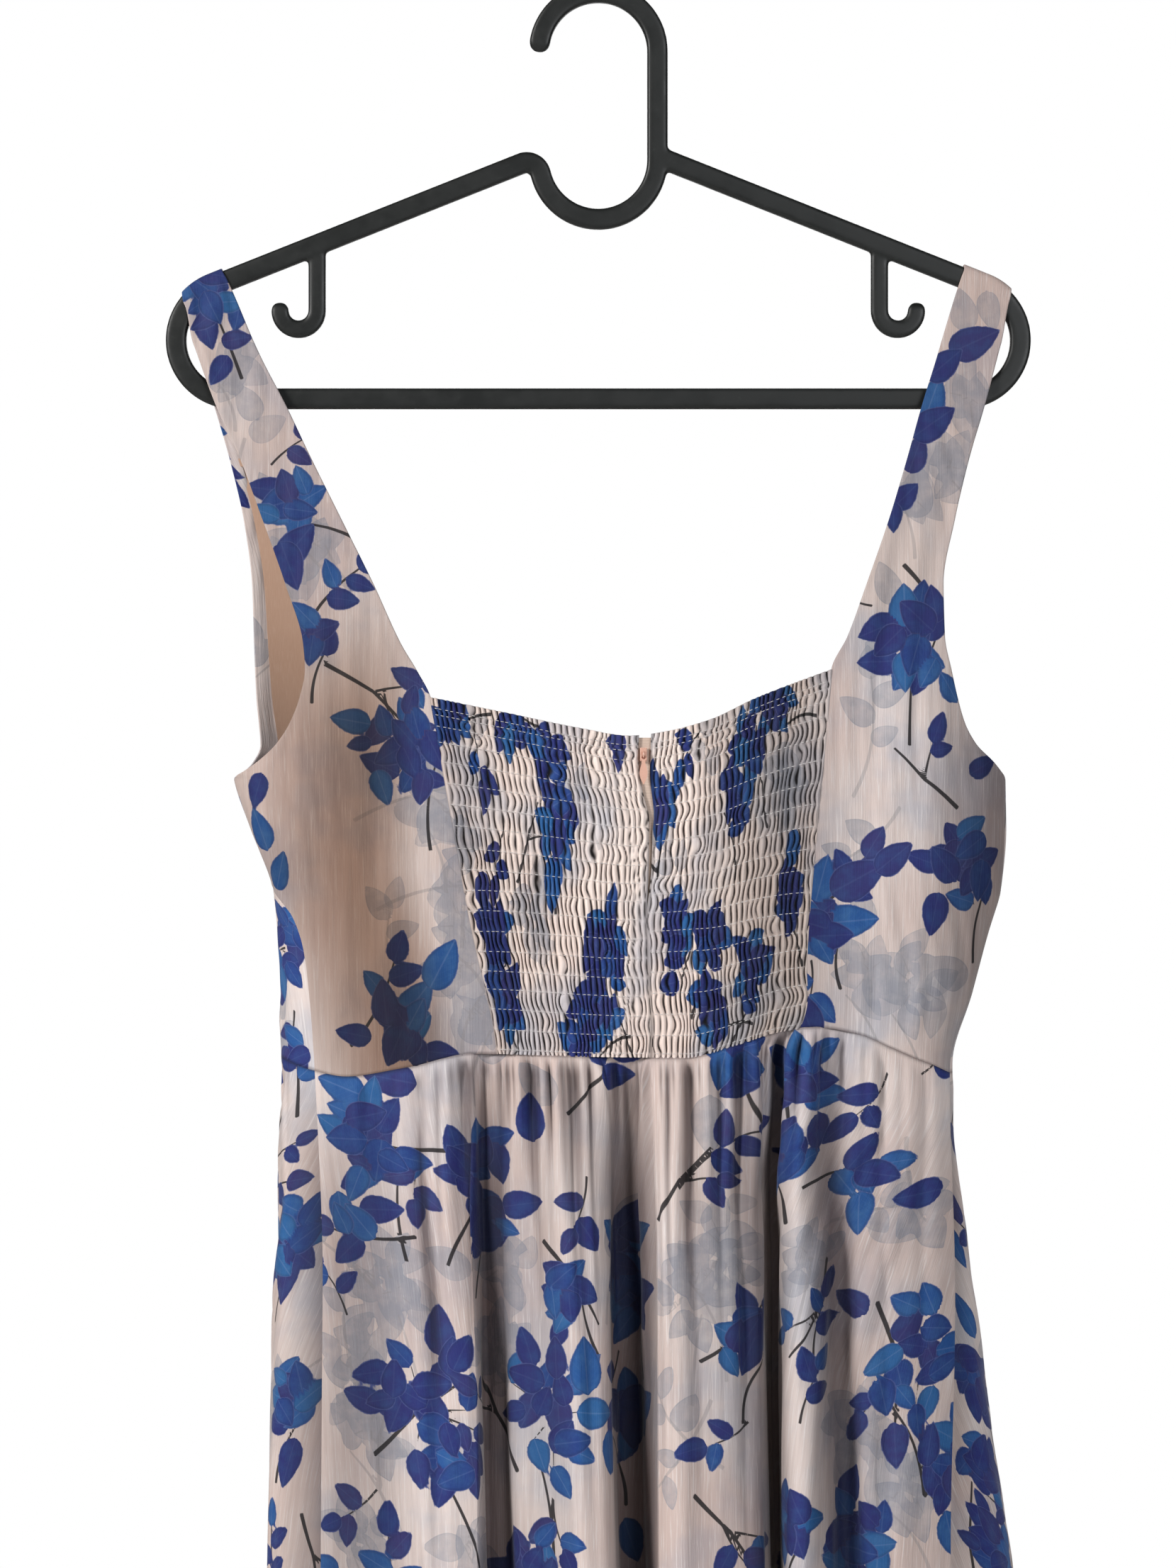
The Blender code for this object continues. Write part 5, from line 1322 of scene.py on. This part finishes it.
def skirt_form(bearings_at, drops, shades, columns):
    """A skirt panel: at each level its fold lines' bearings and drops, read smoothly between the lines. The
    rows stand closer together at the waist, where the cloth turns most.

    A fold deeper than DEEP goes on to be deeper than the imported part's by a share of what is over that.
    """
    share = np.linspace(0, 1, SKIRT_ROWS + 1)
    level = WAIST + (HEM - WAIST) * ((1 - ROWS_BEND) * share + ROWS_BEND * share**2)
    knots = np.arange(len(drops))
    places = np.linspace(0, len(drops) - 1, columns + 1)
    drop = through(places, knots, np.array(drops))
    drop = drop + DEEPER * np.clip(drop - DEEP, 0, None)
    bearing = through(places, knots, bearings_at(level)).T
    height = HEM + (waist_height(bearing) - HEM) * ((level - HEM) / (WAIST - HEM))[:, None]
    # Painted shade along the fold lines, coming in just below the waist.
    shade = np.clip(through(places, knots, np.array(shades)), 0, 1)
    shade = shade * eased(WAIST - level, -0.03, 0.075)[:, None]
    return surface(bearing, height, drop), bearing, level, shade


def gathered(form, normal, bearing, level, rng):
    """Small gathers let into the waist seam, as a moved form and how deep each point lies in a crease, which
    the skirt paints as shade.

    Each set is round crests with sharp creases, 2 |cos(p / 2)| less its mean, and dies away down the cloth,
    every crest at its own height.
    """
    below = (WAIST - level)[:, None]
    columns = form.shape[1]
    side = np.minimum(np.arange(columns), np.arange(columns)[::-1]) / columns
    held = read(GATHERS, "strength", bearing, key="bearing") * eased(side, 0.0, 0.05)
    across = np.cumsum(np.linalg.norm(np.diff(form[0], axis=0, prepend=form[0, :1]), axis=-1))
    total, creased = np.zeros(form.shape[:2]), np.zeros(form.shape[:2])
    for pitch, height, reach in GATHER_SETS:
        wander = 0.16 * np.sin(across / 0.021 + rng.uniform(0, 7)) + 0.1 * np.sin(across / 0.009)
        phase = 2 * math.pi * (across / pitch + wander + rng.uniform())
        own_reach = reach * (1 + 0.45 * np.sin(across / (pitch * 1.9) + rng.uniform(0, 7)))
        crest = np.abs(np.cos(phase / 2))[None, :]
        left = np.exp(-((below / own_reach) ** 1.5)) * eased(below, -0.002, 0.010)
        total += height * (2 * crest - 4 / math.pi) * left
        creased = np.maximum(creased, eased(-crest, -0.60, -0.05) * left)
    return form + normal * (held * total)[..., None], held * creased


def skirt_piece(name, node, bearings_at, drops, shades, columns, seed, places, faded_places=""):
    rng = np.random.default_rng(seed)
    form, bearing, level, shade = skirt_form(bearings_at, drops, shades, columns)
    normal, flat = outward(form), flat_places(form)
    form = rippled(form, normal, flat, rng, *SKIRT_RIPPLES)
    form, creased = gathered(form, normal, bearing, level, rng)
    normal = outward(form)
    dark, faded = laid_out(rng, form, flat, normal, places, faded_places)
    shown = (seen_places(form)[1] > SHOWN_DOWN_TO) & (form[..., 1] <= 0)
    more_dark, more_faded = scattered(rng, flat, shown)
    # Painted shade in the skirt's recesses, along its fold lines and in the gathers' creases.
    painted_shade = np.maximum(0.85 * hollows(form, normal, *SKIRT_HOLLOWS), np.maximum(shade, 0.9 * creased))
    painted_shade[: len(SEAM_SHADES)] = np.maximum(painted_shade[: len(SEAM_SHADES)], SEAM_SHADES[:, None])
    edges = (("left", *SEAM_EDGE), ("right", *SEAM_EDGE), ("top", *SEAM_EDGE), ("bottom", *HEM_EDGE))
    cloth_piece(
        name, node, form, flat, normal, edges, chiffon,
        (dark + more_dark, faded + more_faded), (painted_shade, np.zeros_like(painted_shade)),
    )


def back_skirt(side, seams, folds, end_shades, seed, places, faded_places):
    levels = np.array([WAIST, KNEE, HEM])
    lines = np.stack([folds["waist"], folds["knee"], folds["hem"]])

    def bearings_at(level):
        x = [read(seams[0], "x", level), *through(level, levels, lines).T, read(seams[1], "x", level)]
        return bearing_of(np.array(x), level, "back")

    ends = [CENTRE_BACK_DROP if seam is CENTRE_BACK else 0.0 for seam in seams]
    drops = [ends[0], *folds["drop"], ends[1]]
    shades = [end_shades[0], *folds["shade"], end_shades[1]]
    name, node = side + "_skirt_back", "skirt_back_" + side
    skirt_piece(name, node, bearings_at, drops, shades, BACK_SKIRT_COLUMNS, seed, places, faded_places)


def front_bearings_at(level):
    right = bearing_of(read(SIDE_SEAM_RIGHT, "x", level), level, "back")
    left = bearing_of(read(SIDE_SEAM_LEFT, "x", level), level, "back") + 360
    return right + (left - right) * np.array([0.0, *FOLDS_FRONT["share"], 1.0])[:, None]


back_skirt("left", (SIDE_SEAM_LEFT, CENTRE_BACK), FOLDS_BACK_LEFT, (0.30, 0.60), 41, """
leaf -125 -526 70 30, leaf -101 -522 80 32, cluster -112 -552 10 66, leaf -104 -585 -90 26,
leaf -125 -588 180 24, trio -86 -560 150 40, spray -90 -600 100 50, cluster -60 -566 -25 56,
cluster -54 -592 -20 36, leaf -33 -541 5 28, leaf -37 -583 -80 26, fork -70 -560 80 50,
spray -14 -538 -50 56, trio -6 -570 180 46, fork -24 -600 215 46, cluster -16 -626 30 34,
cluster 11 -604 0 48, cluster 17 -630 20 40, trio 10 -656 170 44, cluster 15 -684 0 46, leaf 6 -704 190 26,
trio -122 -636 15 46, cluster -84 -684 20 94, leaf -77 -643 0 30, leaf -66 -654 -30 24,
fork -110 -700 -55 60, trio -108 -722 140 46, leaf -76 -720 160 26, leaf -60 -716 190 24,
cluster -22 -684 0 84, leaf -6 -662 5 32, leaf -34 -652 20 24, fork -42 -712 20 56, trio -22 -726 180 44,
cluster -36 -762 0 50, leaf -140 -760 90 26, leaf 16 -746 200 26""", """
cluster -100 -626 10 56, cluster -118 -664 10 60, cluster -110 -690 10 50, spray -110 -622 40 80,
cluster -46 -612 0 50, leaf -74 -610 60 28, leaf -104 -604 20 28, spray -116 -672 20 70,
cluster -52 -650 60 50, spray -54 -700 0 70, cluster -116 -742 10 50, leaf -30 -524 40 30,
spray -60 -534 0 60, spray 4 -640 0 60""")
back_skirt("right", (CENTRE_BACK, SIDE_SEAM_RIGHT), FOLDS_BACK_RIGHT, (0.15, 0.20), 42, """
cluster 66 -512 20 40, cluster 100 -520 10 44, leaf 110 -530 -85 26, leaf 106 -548 -160 24,
spray 40 -574 -35 56, fork 28 -588 -35 40, cluster 90 -560 20 32, spray 100 -575 -62 44,
leaf 136 -568 -100 26, leaf 126 -588 200 26, trio 140 -520 170 40, trio 158 -520 -60 36,
leaf 154 -578 100 28, spray 50 -660 -65 62, cluster 70 -650 0 36, trio 72 -690 130 44, trio 104 -655 10 50,
trio 98 -688 0 46, fork 112 -610 175 44, cluster 158 -656 10 80, fork 140 -630 210 60, leaf 124 -630 60 24,
leaf 145 -700 190 26, leaf 186 -636 -10 24, cluster 178 -710 10 56, leaf 182 -744 200 28,
fork 50 -724 215 44, trio 60 -738 200 46, cluster 92 -738 0 40, cluster 126 -742 20 60""", """
cluster 62 -606 0 70, cluster 46 -626 0 60, spray 110 -594 -60 60, leaf 146 -594 -110 34,
cluster 104 -610 0 44, spray 54 -680 160 80, cluster 126 -690 20 60, spray 60 -710 60 70,
cluster 150 -720 20 50, leaf 54 -545 180 34, spray 150 -552 200 60""")
front_drops = [0.0, *FOLDS_FRONT["drop"], 0.0]
# Painted shade in the front's deeper folds and by its side seams.
front_shades = [0.6, *(0.6 * eased(drop, 0.004, 0.015) for drop in front_drops[1:-2]), 0.30, 0.85]
skirt_piece(
    "front_skirt", "skirt_front", front_bearings_at, front_drops, front_shades, FRONT_SKIRT_COLUMNS, 43, """
spray -146 -540 30 50, fork -150 -590 0 50, cluster -148 -602 0 40, leaf -152 -620 190 30,
cluster -150 -676 0 44, leaf -150 -708 170 30, fork -142 -734 200 40, leaf 173 -552 20 26,
leaf 174 -604 190 26, cluster 184 -668 0 50, leaf 178 -636 10 28, cluster 188 -711 20 46,
cluster 192 -750 10 56""",
)

# ---- The zip: a concealed zip in the centre back. Its woven tape stands behind the open top, its slider sits
# between the lips, and a leaf-shaped pull hangs from the slider, all enamelled or dyed peach.
tape_cloth, tree, shader = new_material("zip_tape_weave")
place = add(tree, "TexCoord").outputs["Object"]
ribs = add(tree, "TexWave", {"bands_direction": "Z"}, Vector=place, Scale=420.0, Distortion=0.4).outputs["Fac"]
colour = blended(tree, ribs, linear(196, 172, 156), linear(222, 200, 184))
fill(tree, shader, Base_Color=colour, Normal=relief(tree, ribs, 0.4, 0.0001), Roughness=0.8)

enamel, tree, shader = new_material("peach_enamel")
wear = noise(tree, add(tree, "TexCoord").outputs["Object"], 900.0, 5.0, 0.65)
worn = maths(tree, "MULTIPLY", ranged(tree, wear, 0.58, 0.70), 0.45)
fill(
    tree, shader,
    Base_Color=blended(tree, worn, linear(226, 178, 158), linear(190, 160, 138)),
    Roughness=ranged(tree, wear, 0.35, 0.7, 0.26, 0.44),
    Normal=relief(tree, wear, 0.15, 0.00008),
    Coat_Weight=0.35,
)
for node, finish in (("zip_tape", tape_cloth), ("zip_slider", enamel), ("zip_pull", enamel)):
    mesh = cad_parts[node].data
    mesh.materials.clear()
    mesh.materials.append(finish)
